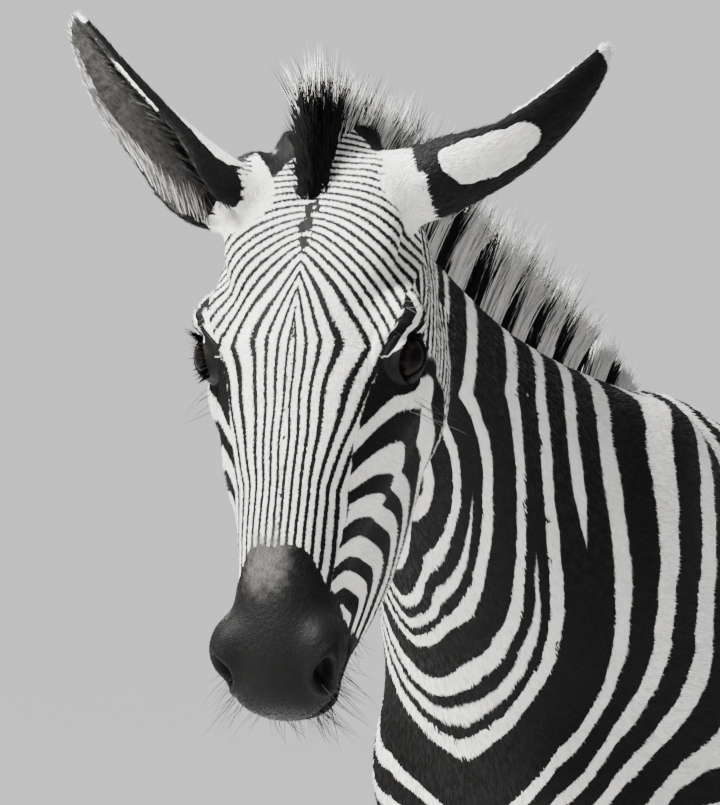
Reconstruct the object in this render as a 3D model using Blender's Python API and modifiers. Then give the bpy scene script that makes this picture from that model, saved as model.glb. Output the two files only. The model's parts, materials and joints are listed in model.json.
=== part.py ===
"""A standing plains zebra, life size, as closed solids: one object for each part of the body.

Frame: -Y is the way the body faces, +X is the animal's left, +Z is up. The floor is z = 0, and the origin
lies on it under the middle of the model. Lengths are in metres.

The body is built whole. Ovals lofted along the trunk, neck, head and limbs, and ellipsoids for the muscles,
are fused with a voxel remesh, smoothed and reduced. Planes then part it with thin cuts. The hooves, eyes,
mane and tail tuft are separate solids set against it.
"""

import math

import bmesh
import bpy
from mathutils import Matrix, Vector

# ---------------------------------------------------------------- driving dimensions
GAP = 0.0003  # between solids parted by a plane
CLEAR = 0.0006  # how far ears, eyes and the tail keep off the body
HAIR_CLEAR = 0.0015  # how far the mane keeps off it
COAT_DEPTH = 0.004  # the solids reach the tips of the coat
VOXEL = 0.004  # fusing grid
BODY_TRIANGLES = 3700  # of the whole body, for the parts behind the head
FACE_TRIANGLES = 8000  # of the whole body, for the head

TRUNK_STRETCH = 0.93  # length of the barrel, as a share of the stations' own
POLL = Vector((0.070, -0.615, 1.508))  # top of the head, behind the forelock
HEAD_YAW = math.radians(16)  # to the animal's left
HEAD_PITCH = math.radians(68)  # nose down from level
BEND_START = -0.05  # the neck curves to the left ahead of this y
BEND = POLL.x / (POLL.y - BEND_START) ** 2

JAW_BOX = 0.55  # how square the jaw is in section: 1 is an oval
EYE_RADIUS = 0.0205
EYE_PLACE = Vector((0.0835, -0.170, -0.044))  # the left one, in the head's frame
EYE_AXIS = Vector((0.76, -0.30, 0.58)).normalized()  # the way its lids open
SOCKET_RADIUS = 0.023
SOCKET_AHEAD = 0.022  # middle of the hollow between the lids, from the eye's own
EAR_LENGTH = 0.230
EAR_WALL = 0.008
HOOF_TOP = 0.062  # height of the coronet at the middle of a hoof
SHARP = math.radians(35)  # edges turning more than this are shaded sharp

# Planes that part the body: a point, and the normal towards the first-named part.
HEAD_FROM_NECK = ((0, -0.448, 1.225), (0, -1, -0.20))
NECK_FROM_SHOULDERS = ((0, -0.200, 1.150), (0, -0.75, 0.66))
MANE_CUT = ((0, -0.300, 1.400), (0, 0.9, -0.43))  # towards the rear length
GIRTH, FLANK = 0.080, 0.630  # y, ahead of and behind the barrel
ELBOW, STIFLE = 0.640, 0.668  # height where the fore and the hind legs leave the body
KNEE, HOCK = 0.400, 0.490

# ---------------------------------------------------------------- stations
# Trunk and neck, tail end first: (y, z) of the top line, (y, z) of the underline, half width, pear.
# Pear is how much wider the lower half is than the upper.
TRUNK = (
    ((1.135, 1.085), (1.150, 0.985), 0.060, 0.0),
    ((1.105, 1.165), (1.120, 0.900), 0.135, 0.0),
    ((1.040, 1.230), (1.050, 0.830), 0.190, 0.05),
    ((0.950, 1.268), (0.960, 0.775), 0.222, 0.05),
    ((0.840, 1.285), (0.840, 0.735), 0.236, 0.05),
    ((0.720, 1.280), (0.710, 0.695), 0.240, 0.08),
    ((0.560, 1.258), (0.545, 0.655), 0.256, 0.12),
    ((0.380, 1.248), (0.360, 0.635), 0.262, 0.14),
    ((0.200, 1.266), (0.180, 0.640), 0.240, 0.14),
    ((0.070, 1.298), (0.020, 0.665), 0.200, 0.12),
    ((-0.040, 1.320), (-0.120, 0.715), 0.164, 0.08),
    ((-0.140, 1.342), (-0.210, 0.800), 0.134, 0.05),
    ((-0.240, 1.371), (-0.264, 0.915), 0.108, 0.05),
    ((-0.340, 1.406), (-0.314, 1.040), 0.088, 0.0),
    ((-0.430, 1.442), (-0.376, 1.145), 0.077, 0.0),
    ((-0.510, 1.472), (-0.426, 1.225), 0.071, 0.0),
    ((-0.575, 1.488), (-0.466, 1.275), 0.066, 0.0),
    ((-0.620, 1.476), (-0.540, 1.320), 0.058, 0.0),
)
# Head, in its own frame, poll first: distance from the poll, top, bottom, half width.
SKULL = (
    (-0.014, -0.032, -0.110, 0.042),
    (0.010, -0.010, -0.150, 0.066),
    (0.047, 0.004, -0.175, 0.082),
    (0.093, 0.011, -0.185, 0.092),
    (0.140, 0.012, -0.190, 0.097),
    (0.177, 0.009, -0.188, 0.095),
    (0.214, 0.005, -0.178, 0.087),
    (0.251, 0.001, -0.164, 0.076),
    (0.288, -0.004, -0.148, 0.063),
    (0.325, -0.009, -0.132, 0.052),
    (0.363, -0.013, -0.120, 0.045),
    (0.400, -0.018, -0.118, 0.046),
    (0.428, -0.024, -0.118, 0.050),
    (0.456, -0.034, -0.112, 0.049),
    (0.474, -0.047, -0.106, 0.042),
    (0.486, -0.062, -0.098, 0.027),
)
JAW = (
    (0.045, -0.090, -0.205, 0.048),
    (0.085, -0.090, -0.236, 0.060),
    (0.130, -0.090, -0.250, 0.066),
    (0.180, -0.090, -0.250, 0.067),
    (0.235, -0.085, -0.245, 0.066),
    (0.285, -0.080, -0.231, 0.062),
    (0.335, -0.075, -0.213, 0.056),
    (0.375, -0.070, -0.190, 0.048),
    (0.410, -0.070, -0.164, 0.040),
    (0.440, -0.070, -0.145, 0.035),
    (0.460, -0.080, -0.130, 0.025),
)
# Legs, from inside the trunk down: height, y of the middle, x of the middle, half width, half depth.
FORE_LEG = (
    (1.060, -0.100, 0.080, 0.050, 0.105),
    (0.930, -0.115, 0.098, 0.060, 0.112),
    (0.830, -0.092, 0.118, 0.060, 0.102),
    (0.750, -0.073, 0.128, 0.055, 0.086),
    (0.670, -0.068, 0.130, 0.047, 0.066),
    (0.580, -0.070, 0.126, 0.037, 0.049),
    (0.490, -0.074, 0.122, 0.030, 0.038),
    (0.430, -0.078, 0.120, 0.033, 0.036),
    (0.400, -0.079, 0.120, 0.035, 0.037),
    (0.370, -0.077, 0.120, 0.031, 0.033),
    (0.330, -0.073, 0.120, 0.023, 0.026),
    (0.250, -0.070, 0.120, 0.0195, 0.0245),
    (0.190, -0.070, 0.120, 0.0215, 0.0275),
    (0.155, -0.070, 0.120, 0.0275, 0.0345),
    (0.125, -0.081, 0.120, 0.0255, 0.0280),
    (0.095, -0.097, 0.120, 0.0285, 0.0300),
    (0.060, -0.112, 0.120, 0.0340, 0.0370),
)
HIND_LEG = (
    (1.130, 0.870, 0.100, 0.085, 0.150),
    (1.020, 0.895, 0.128, 0.095, 0.172),
    (0.910, 0.870, 0.138, 0.090, 0.172),
    (0.810, 0.835, 0.142, 0.078, 0.148),
    (0.730, 0.850, 0.140, 0.060, 0.108),
    (0.650, 0.895, 0.136, 0.045, 0.074),
    (0.580, 0.935, 0.132, 0.035, 0.053),
    (0.530, 0.966, 0.130, 0.032, 0.050),
    (0.490, 0.980, 0.130, 0.035, 0.050),
    (0.450, 0.974, 0.130, 0.035, 0.044),
    (0.400, 0.964, 0.130, 0.028, 0.034),
    (0.340, 0.958, 0.130, 0.0225, 0.0285),
    (0.250, 0.952, 0.130, 0.0205, 0.0265),
    (0.190, 0.948, 0.130, 0.0225, 0.0285),
    (0.155, 0.944, 0.130, 0.0275, 0.0345),
    (0.125, 0.930, 0.130, 0.0255, 0.0280),
    (0.095, 0.914, 0.130, 0.0280, 0.0300),
    (0.060, 0.900, 0.130, 0.0335, 0.0360),
)
# How far each hoof stands ahead of (-) or behind (+) its leg's own line, and the height it swings from.
STANCE = {"fore_left": -0.030, "fore_right": 0.045, "hind_left": 0.055, "hind_right": -0.050}
SWING_FROM = {"fore": 0.90, "hind": 0.98}
TAIL = (
    ((1.020, 1.170), 0.040),
    ((1.075, 1.178), 0.038),
    ((1.120, 1.150), 0.033),
    ((1.146, 1.090), 0.027),
    ((1.158, 1.000), 0.022),
    ((1.163, 0.900), 0.018),
    ((1.164, 0.840), 0.016),
)
# Tail tuft: height, radius, how far it stands behind the tail's line.
TUFT = (
    (0.840, 0.016, 0.000),
    (0.825, 0.022, 0.000),
    (0.780, 0.030, 0.002),
    (0.710, 0.037, 0.004),
    (0.620, 0.036, 0.002),
    (0.540, 0.028, -0.004),
    (0.480, 0.016, -0.010),
    (0.455, 0.006, -0.012),
)
# Hooves: share of the way down, how far ahead of the coronet, and the size against the coronet's.
HOOF = ((0.0, 0.000, 1.03, 1.03), (0.12, 0.004, 1.10, 1.10), (0.94, 0.021, 1.30, 1.38), (1.0, 0.022, 1.28, 1.36))
# Mane: distance from the poll or y, the way the hair stands as (y, z), height, half thickness of the foot.
MANE_ON_HEAD = (
    (0.050, (0.45, 0.89), 0.036, 0.010),
    (0.028, (0.62, 0.78), 0.070, 0.013),
    (0.002, (0.80, 0.60), 0.098, 0.015),
)
MANE_ON_NECK = (
    (-0.585, (0.16, 0.99), 0.106, 0.016),
    (-0.530, (0.34, 0.94), 0.114, 0.018),
    (-0.470, (0.46, 0.89), 0.120, 0.019),
    (-0.400, (0.52, 0.85), 0.122, 0.019),
    (-0.330, (0.55, 0.83), 0.122, 0.019),
    (-0.260, (0.55, 0.83), 0.118, 0.018),
    (-0.190, (0.55, 0.83), 0.108, 0.017),
    (-0.120, (0.54, 0.84), 0.092, 0.015),
    (-0.050, (0.52, 0.85), 0.068, 0.012),
    (0.010, (0.50, 0.87), 0.044, 0.009),
    (0.045, (0.46, 0.89), 0.022, 0.006),
)
# Across the mane: share of the height, share of the half thickness.
MANE_PROFILE = ((-0.05, 0.8), (0.30, 1.20), (0.65, 1.60), (0.86, 1.45), (0.97, 0.90), (1.0, 0.25))

# Muscles and bony points: centre, radii, turn about X, Y and Z in degrees. Those off the middle are mirrored.
BODY_MASSES = (
    ((0.085, -0.080, 1.120), (0.068, 0.110, 0.190), (-16, 0, 0)),  # shoulder blade and its muscles
    ((0.080, -0.185, 0.965), (0.052, 0.080, 0.110), (-30, 0, 0)),  # point of the shoulder
    ((0.112, -0.045, 0.880), (0.066, 0.125, 0.125), (25, 0, 0)),  # triceps
    ((0.044, -0.195, 0.880), (0.056, 0.066, 0.112), (-12, 0, 0)),  # breast
    ((0.118, 0.000, 0.770), (0.038, 0.040, 0.055), (0, 0, 0)),  # elbow
    ((0.000, 0.040, 1.225), (0.055, 0.190, 0.086), (3, 0, 0)),  # withers
    ((0.090, 0.800, 1.140), (0.115, 0.185, 0.130), (8, 0, 0)),  # croup
    ((0.155, 0.655, 1.140), (0.048, 0.060, 0.060), (0, 0, 0)),  # point of the hip
    ((0.105, 0.900, 1.010), (0.100, 0.145, 0.200), (8, 0, 0)),  # buttock
    ((0.150, 0.725, 0.860), (0.062, 0.085, 0.125), (-20, 0, 0)),  # stifle
)
# These follow a hind leg's stance.
HOCK_MASSES = (
    ((0.132, 0.922, 0.588), (0.014, 0.022, 0.078), (16, 0, 0)),  # tendon above the hock
    ((0.130, 0.942, 0.528), (0.019, 0.023, 0.032), (0, 0, 0)),  # point of the hock
)
HEAD_MASSES = (
    ((0.050, -0.145, -0.155), (0.037, 0.090, 0.085), (0, 0, 0)),  # cheek
    ((0.080, -0.150, -0.030), (0.029, 0.040, 0.020), (0, 0, 0)),  # brow over the eye
    ((0.076, -0.188, -0.072), (0.024, 0.046, 0.022), (0, 0, -6)),  # rim under the eye
    ((0.070, -0.110, -0.055), (0.026, 0.050, 0.030), (0, 0, 0)),  # arch behind the eye
    ((0.058, -0.252, -0.078), (0.021, 0.070, 0.026), (0, 0, -12)),  # facial crest
    ((0.040, -0.432, -0.056), (0.021, 0.030, 0.030), (0, 0, 0)),  # nostril
    ((0.000, -0.446, -0.082), (0.049, 0.032, 0.036), (0, 0, 0)),  # upper lip
    ((0.000, -0.450, -0.118), (0.039, 0.026, 0.022), (0, 0, 0)),  # lower lip
    ((0.000, -0.426, -0.130), (0.033, 0.030, 0.020), (0, 0, 0)),  # chin
    ((0.036, -0.070, -0.010), (0.046, 0.068, 0.020), (0, 0, 0)),  # temple
    ((0.058, -0.025, -0.024), (0.034, 0.038, 0.036), (0, 0, 0)),  # root of the ear
    ((0.000, 0.005, -0.030), (0.052, 0.050, 0.030), (0, 0, 0)),  # poll
)
# Ears, in the head's frame: middle of the base, the way the ear points, the way its cup opens, and how much
# the ear bends towards its opening.
EARS = {
    "left": ((0.064, -0.026, -0.028), (0.732, 0.672, -0.111), (-0.677, 0.736, -0.005), 0.055),
    "right": ((-0.060, -0.044, -0.018), (-0.644, 0.581, 0.497), (-0.325, -0.797, 0.510), -0.140),
}


# ---------------------------------------------------------------- places
def bend(point):
    """A point of the straight neck, where the neck curves to the left."""
    x, y, z = point
    return Vector((x + BEND * max(0.0, BEND_START - y) ** 2, y, z))


def head_frame():
    """The head's own frame, with the poll at the origin, the muzzle on -Y and the forehead on +Z."""
    turn = Matrix.Rotation(HEAD_YAW, 4, "Z") @ Matrix.Rotation(HEAD_PITCH, 4, "X")
    return Matrix.Translation(POLL) @ turn


def stretched(y):
    return y * TRUNK_STRETCH if y > 0 else y


# ---------------------------------------------------------------- meshes
def loft(name, rings):
    """A closed tube through rings of equal numbers of points, with flat ends."""
    bm = bmesh.new()
    rows = [[bm.verts.new(p) for p in ring] for ring in rings]
    count = len(rows[0])
    for a, b in zip(rows, rows[1:]):
        for i in range(count):
            j = (i + 1) % count
            bm.faces.new((a[i], a[j], b[j], b[i]))
    bm.faces.new(rows[0])
    bm.faces.new(rows[-1])
    bmesh.ops.recalc_face_normals(bm, faces=bm.faces)
    return finished(name, bm)


def finished(name, bm):
    mesh = bpy.data.meshes.new(name)
    bm.to_mesh(mesh)
    bm.free()
    obj = bpy.data.objects.new(name, mesh)
    bpy.context.scene.collection.objects.link(obj)
    return obj


def oval(top, bottom, half_width, pear=0.0, box=1.0, count=32):
    """A ring whose top and bottom are points of the middle plane. A box below 1 squares its corners."""
    middle, half = (top + bottom) / 2, (top - bottom) / 2
    ring = []
    for i in range(count):
        angle = math.tau * i / count
        up, out = math.sin(angle), math.cos(angle)
        out = math.copysign(abs(out) ** box, out)
        ring.append(middle + half * up + Vector((half_width * out * (1 - pear * up), 0, 0)))
    return ring


def flat_oval(centre, half_width, half_depth, count=24):
    """A level ring."""
    turns = (math.tau * i / count for i in range(count))
    return [centre + Vector((half_width * math.cos(a), half_depth * math.sin(a), 0)) for a in turns]


def ellipsoid(name, centre, radii, turn, frame):
    bm = bmesh.new()
    bmesh.ops.create_icosphere(bm, subdivisions=4, radius=1)
    rotation = Matrix.Rotation(math.radians(turn[2]), 4, "Z")
    rotation @= Matrix.Rotation(math.radians(turn[1]), 4, "Y")
    rotation @= Matrix.Rotation(math.radians(turn[0]), 4, "X")
    place = frame @ Matrix.Translation(centre) @ rotation @ Matrix.Diagonal((*radii, 1))
    bmesh.ops.transform(bm, matrix=place, verts=bm.verts)
    return finished(name, bm)


def masses(rows, frame):
    """The ellipsoids of a table, with the mirror images of those off the middle."""
    made = []
    for centre, radii, turn in rows:
        for side in (1, -1) if centre[0] else (1,):
            mirrored = (side * centre[0], *centre[1:])
            turned = (turn[0], side * turn[1], side * turn[2])
            made.append(ellipsoid("mass", mirrored, radii, turned, frame))
    return made


# ---------------------------------------------------------------- the body, whole
def trunk_and_neck():
    rings = []
    for top, bottom, half_width, pear in TRUNK:
        a = Vector((0, stretched(top[0]), top[1]))
        b = Vector((0, stretched(bottom[0]), bottom[1]))
        rings.append([bend(p) for p in oval(a, b, half_width, pear)])
    return loft("trunk_and_neck", rings)


def head_tube(name, rows, frame, box):
    rings = []
    for along, top, bottom, half_width in rows:
        ring = oval(Vector((0, -along, top)), Vector((0, -along, bottom)), half_width, 0.0, box)
        rings.append([frame @ p for p in ring])
    return loft(name, rings)


def leg_shift(name, height):
    """How far the stance carries a leg's middle line backwards at a height."""
    return STANCE[name] * max(0.0, 1 - height / SWING_FROM[name[:4]])


def leg_rows(name):
    return FORE_LEG if name.startswith("fore") else HIND_LEG


def leg_centre(name, height, y, x):
    side = 1 if name.endswith("left") else -1
    return Vector((side * x, stretched(y) + leg_shift(name, height), height))


def leg(name):
    rings = []
    for height, y, x, half_width, half_depth in leg_rows(name):
        rings.append(flat_oval(leg_centre(name, height, y, x), half_width, half_depth))
    return loft(name, rings)


def evaluated(obj):
    """The object as its modifiers leave it, as a new plain mesh object in its place."""
    bpy.context.view_layer.update()
    graph = bpy.context.evaluated_depsgraph_get()
    mesh = bpy.data.meshes.new_from_object(obj.evaluated_get(graph))
    name = obj.name
    bpy.data.objects.remove(obj)
    new = bpy.data.objects.new(name, mesh)
    bpy.context.scene.collection.objects.link(new)
    return new


def joined(name, objects):
    bm = bmesh.new()
    for obj in objects:
        bm.from_mesh(obj.data)
        bpy.data.objects.remove(obj)
    return finished(name, bm)


def whole_body(frame):
    """Every mass fused, smoothed and grown to the coat's tips."""
    shapes = [trunk_and_neck(), head_tube("skull", SKULL, frame, 1.0), head_tube("jaw", JAW, frame, JAW_BOX)]
    shapes += [leg(name) for name in STANCE]
    shapes += masses(BODY_MASSES, Matrix.Identity(4)) + masses(HEAD_MASSES, frame)
    for name in ("hind_left", "hind_right"):
        for (x, y, z), radii, turn in HOCK_MASSES:
            centre = (x if name.endswith("left") else -x, y + leg_shift(name, z), z)
            shapes.append(ellipsoid("mass", centre, radii, turn, Matrix.Identity(4)))
    body = joined("body", shapes)
    fuse = body.modifiers.new("fuse", "REMESH")
    fuse.mode = "VOXEL"
    fuse.voxel_size = VOXEL
    body = largest(evaluated(body))
    back = frame.inverted()
    for vertex in body.data.vertices:
        vertex.co = frame @ hollowed(back @ vertex.co)
    soft = body.vertex_groups.new(name="soft")
    for vertex in body.data.vertices:
        soft.add([vertex.index], softness(vertex.co, back @ vertex.co), "REPLACE")
    smooth = body.modifiers.new("smooth", "SMOOTH")
    smooth.factor = 0.7
    smooth.iterations = 320
    smooth.vertex_group = "soft"
    grow = body.modifiers.new("coat", "DISPLACE")
    grow.strength = COAT_DEPTH
    grow.mid_level = 0
    return evaluated(body)


def hollowed(local):
    """A point of the head's surface, pushed in where the lids leave an eye open."""
    side = 1 if local.x > 0 else -1
    point = Vector((side * local.x, local.y, local.z)) - EYE_PLACE - EYE_AXIS * SOCKET_AHEAD
    if point.length < SOCKET_RADIUS:
        along = point.dot(EYE_AXIS)
        off = (point - EYE_AXIS * along).length
        point += EYE_AXIS * (-math.sqrt(SOCKET_RADIUS**2 - off**2) - along)
        point += EYE_PLACE + EYE_AXIS * SOCKET_AHEAD
        return Vector((side * point.x, point.y, point.z))
    return local


def softness(point, local):
    """How much a place is smoothed: the trunk most, the head and the lower legs least."""
    head = ramp(local.y, -0.02, 0.10)
    if local.z < -0.12:
        head = max(head, ramp(-0.12 - local.z, 0.12, 0.30))
    legs = ramp(point.z, 0.50, 0.90)
    return min(0.12 + 0.88 * head, 0.05 + 0.95 * legs)


def ramp(value, low, high):
    """0 below low, 1 above high, smooth between."""
    share = min(1.0, max(0.0, (value - low) / (high - low)))
    return share * share * (3 - 2 * share)


def reduced(body, triangles):
    copy = body.copy()
    copy.data = body.data.copy()
    bpy.context.scene.collection.objects.link(copy)
    reduce = copy.modifiers.new("reduce", "DECIMATE")
    reduce.ratio = triangles / (2 * len(body.data.polygons))
    return evaluated(copy)


# ---------------------------------------------------------------- cutting
def split(obj, point, normal, name):
    """Cuts a solid in two along a plane. The part on the normal's side is returned, under a new name."""
    normal = Vector(normal).normalized()
    away = obj.copy()
    away.data = obj.data.copy()
    away.name = away.data.name = name
    bpy.context.scene.collection.objects.link(away)
    trim(obj, Vector(point) - normal * GAP / 2, normal)
    trim(away, Vector(point) + normal * GAP / 2, -normal)
    return away


def trim(obj, point, normal):
    """Takes away what lies on the normal's side of a plane, and closes the cut."""
    bm = bmesh.new()
    bm.from_mesh(obj.data)
    geometry = bm.verts[:] + bm.edges[:] + bm.faces[:]
    cut = bmesh.ops.bisect_plane(
        bm, geom=geometry, dist=1e-5, plane_co=point, plane_no=normal, clear_outer=True
    )
    edges = [e for e in cut["geom_cut"] if isinstance(e, bmesh.types.BMEdge) and e.is_boundary]
    bmesh.ops.triangle_fill(bm, edges=edges, use_beauty=True, use_dissolve=False)
    bmesh.ops.recalc_face_normals(bm, faces=bm.faces)
    bm.to_mesh(obj.data)
    bm.free()


def minus(obj, others, clearance):
    """The solid without the others and the space right round them."""
    for other in others:
        cutter = other.copy()
        cutter.data = other.data.copy()
        bpy.context.scene.collection.objects.link(cutter)
        grow = cutter.modifiers.new("clearance", "DISPLACE")
        grow.strength = clearance
        grow.mid_level = 0
        cutter = evaluated(cutter)
        cut = obj.modifiers.new("clear", "BOOLEAN")
        cut.operation = "DIFFERENCE"
        cut.solver = "EXACT"
        cut.object = cutter
        obj = evaluated(obj)
        bpy.data.objects.remove(cutter)
    return obj


def largest(obj):
    """Keeps the largest connected surface of a mesh, which leaves out chips and sealed pockets."""
    bm = bmesh.new()
    bm.from_mesh(obj.data)
    left, islands = set(bm.verts), []
    while left:
        waiting, island = [left.pop()], []
        while waiting:
            vert = waiting.pop()
            island.append(vert)
            for edge in vert.link_edges:
                other = edge.other_vert(vert)
                if other in left:
                    left.discard(other)
                    waiting.append(other)
        islands.append(island)
    islands.sort(key=len)
    for island in islands[:-1]:
        bmesh.ops.delete(bm, geom=island, context="VERTS")
    bm.to_mesh(obj.data)
    bm.free()
    return obj


# ---------------------------------------------------------------- parts set against the body
def ear_section(share):
    """Radius and half angle of the ear's wrap at a share of its length."""
    radius = 0.030 + 0.020 * share * (1 - share)
    if share > 0.3:
        radius *= math.sqrt(1 - ((share - 0.3) / 0.715) ** 2)
    half_angle = math.radians(150 - 66 * ramp(share, 0.0, 0.50) - 6 * share)
    return radius, half_angle


def ear(side, frame):
    """A leaf rolled into a cup."""
    base, way, opening = (Vector(v) for v in EARS[side][:3])
    way.normalize()
    opening = (opening - way * opening.dot(way)).normalized()
    across = way.cross(opening)
    lengths, turns = 10, 8
    bm = bmesh.new()
    rows = []
    for i in range(lengths + 1):
        share = i / lengths
        radius, half_angle = ear_section(share)
        middle = base + way * (EAR_LENGTH * share) + opening * (EARS[side][3] * (share**2 - share))
        row = []
        for j in range(turns + 1):
            angle = half_angle * (2 * j / turns - 1)
            point = middle - opening * (radius * math.cos(angle)) + across * (radius * math.sin(angle))
            row.append(bm.verts.new(frame @ point))
        rows.append(row)
    for a, b in zip(rows, rows[1:]):
        for j in range(turns):
            bm.faces.new((a[j], a[j + 1], b[j + 1], b[j]))
    obj = finished("ear_" + side, bm)
    wall = obj.modifiers.new("wall", "SOLIDIFY")
    wall.thickness = EAR_WALL
    wall.offset = 0
    return evaluated(obj)


def eye(side, frame, radius):
    mirrored = Vector((EYE_PLACE.x if side == "left" else -EYE_PLACE.x, EYE_PLACE.y, EYE_PLACE.z))
    bm = bmesh.new()
    bmesh.ops.create_icosphere(bm, subdivisions=3, radius=radius)
    bmesh.ops.translate(bm, vec=frame @ mirrored, verts=bm.verts)
    return finished("eye_" + side, bm)


def crest(y):
    """Top line of the trunk and neck at a y of the straight neck."""
    line = [(stretched(top[0]), top[1]) for top, _, _, _ in TRUNK]
    for (y1, z1), (y0, z0) in zip(line, line[1:]):
        if y0 <= y <= y1:
            return z0 + (z1 - z0) * (y - y0) / (y1 - y0)
    return line[-1][1]


def mane_stations(frame):
    """Along the mane from the forehead to the withers: foot, way the hair stands, height, half thickness."""
    stations = []
    for along, lift, height, half in MANE_ON_HEAD:
        foot = frame @ Vector((0, -along, -0.012))
        stations.append((foot, (frame.to_3x3() @ Vector((0, *lift))).normalized(), height, half))
    for y, lift, height, half in MANE_ON_NECK:
        foot = bend((0, y, crest(y) - 0.012))
        stations.append((foot, Vector((0, *lift)).normalized(), height, half))
    return stations


def mane(frame):
    stations = mane_stations(frame)
    rings = []
    for i, (foot, lift, height, half) in enumerate(stations):
        before, after = stations[max(0, i - 1)][0], stations[min(len(stations) - 1, i + 1)][0]
        side = (after - before).cross(lift).normalized()
        left = [foot + lift * (height * up) + side * (half * out) for up, out in MANE_PROFILE]
        right = [foot + lift * (height * up) - side * (half * out) for up, out in reversed(MANE_PROFILE)]
        rings.append(left + right)
    return loft("mane_front", rings)


def tail():
    """A round tube, its rings square to the tail's own line and the last one level."""
    line = [Vector((0, stretched(y), z)) for (y, z), _ in TAIL]
    rings = []
    for i, (centre, (_, radius)) in enumerate(zip(line, TAIL)):
        way = (line[min(i + 1, len(line) - 1)] - line[max(i - 1, 0)]).normalized()
        if i == len(line) - 1:
            way = Vector((0, 0, -1))
        across = Vector((1, 0, 0))
        other = way.cross(across)
        turns = (math.tau * k / 16 for k in range(16))
        rings.append([centre + across * (radius * math.cos(a)) + other * (radius * math.sin(a)) for a in turns])
    return loft("tail", rings)


def tail_tuft():
    y = stretched(TAIL[-1][0][0])
    rings = [flat_oval(Vector((0, y + lean, z)), 0.85 * r, r, 16) for z, r, lean in TUFT]
    return loft("tail_tuft", rings)


def coronet(name):
    """A point and the normal of the sloping plane where a leg meets its hoof."""
    _, y, x, _, _ = leg_rows(name)[-1]
    return leg_centre(name, HOOF_TOP, y, x), Vector((0, 0.30, 1)).normalized()


def hoof(name):
    """A horn box: an oval at the coronet widening forwards to a flat sole."""
    point, normal = coronet(name)
    point = point - normal * GAP / 2
    _, _, _, half_width, half_depth = leg_rows(name)[-1]
    rings = []
    for share, ahead, wider, longer in HOOF:
        ring = []
        for i in range(24):
            angle = math.tau * i / 24
            x = point.x + half_width * wider * math.cos(angle)
            y = point.y - ahead + half_depth * longer * math.sin(angle)
            top = point.z - (y - point.y) * normal.y / normal.z
            ring.append(Vector((x, y, top * (1 - share))))
        rings.append(ring)
    return loft("hoof_" + name, rings)


# ---------------------------------------------------------------- build
def material(name, colour, roughness):
    made = bpy.data.materials.new(name)
    made.use_nodes = True
    shader = made.node_tree.nodes["Principled BSDF"]
    shader.inputs["Base Color"].default_value = (*colour, 1)
    shader.inputs["Roughness"].default_value = roughness
    return made


def head_and_neck(face, body):
    """The head from one reduction of the body and the rest from the other, cut along one plane."""
    point, normal = Vector(HEAD_FROM_NECK[0]), Vector(HEAD_FROM_NECK[1]).normalized()
    trim(face, point + normal * GAP / 2, -normal)
    trim(body, point - normal * GAP / 2, normal)
    face.name = "head"
    return face, split(body, *NECK_FROM_SHOULDERS, "neck")


def legs(trunk_end, cut, joint, end):
    """A pair of legs off one end of the trunk, each in an upper part, a lower part and a hoof."""
    pair = split(trunk_end, (0, 0, cut), (0, 0, -1), "pair")
    right = split(pair, (0, 0, 0), (-1, 0, 0), "right")
    parts = []
    for whole, side in ((pair, "left"), (right, "right")):
        name = f"{end}_{side}"
        lower = split(whole, (0, 0, joint), (0, 0, -1), f"leg_{name}_lower")
        whole.name = f"leg_{name}_upper"
        point, normal = coronet(name)
        trim(lower, point + normal * GAP / 2, -normal)
        parts += [whole, lower, hoof(name)]
    return parts


def hair(frame, head, neck, shoulders, hindquarters):
    """The mane in three lengths, the tail and its tuft."""
    front = mane(frame)
    behind = split(front, HEAD_FROM_NECK[0], Vector(HEAD_FROM_NECK[1]) * -1, "mane_middle")
    rear = split(behind, *MANE_CUT, "mane_rear")
    pieces = [minus(front, (head,), HAIR_CLEAR), minus(behind, (head, neck), HAIR_CLEAR)]
    pieces.append(minus(rear, (neck, shoulders), HAIR_CLEAR))
    pieces.append(minus(tail(), (hindquarters,), CLEAR))
    tuft = tail_tuft()
    trim(tuft, Vector((0, 0, TAIL[-1][0][1] - GAP)), Vector((0, 0, 1)))
    return [largest(piece) for piece in pieces] + [tuft]


def finish(parts):
    """Materials, one collection, and the origin on the floor under the middle of the model."""
    looks = {
        "coat": material("coat", (0.55, 0.54, 0.52), 0.8),
        "hair": material("hair", (0.05, 0.05, 0.05), 0.7),
        "horn": material("horn", (0.07, 0.06, 0.055), 0.5),
        "eye": material("eye", (0.02, 0.012, 0.01), 0.1),
    }
    kinds = {"mane": "hair", "tail_tuft": "hair", "hoof": "horn", "eye": "eye"}
    corners = [v.co for part in parts for v in part.data.vertices]
    low = Vector(min(c[i] for c in corners) for i in range(3))
    high = Vector(max(c[i] for c in corners) for i in range(3))
    shift = Matrix.Translation((-(low.x + high.x) / 2, -(low.y + high.y) / 2, -low.z))
    collection = bpy.data.collections.new("zebra")
    bpy.context.scene.collection.children.link(collection)
    for part in parts:
        kind = next((k for start, k in kinds.items() if part.name.startswith(start)), "coat")
        part.vertex_groups.clear()
        part.data.transform(shift)
        part.data.materials.clear()
        part.data.materials.append(looks[kind])
        part.data.shade_smooth()
        part.data.set_sharp_from_angle(angle=SHARP)
        part.data.name = part.name
        for holder in list(part.users_collection):
            holder.objects.unlink(part)
        collection.objects.link(part)


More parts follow.
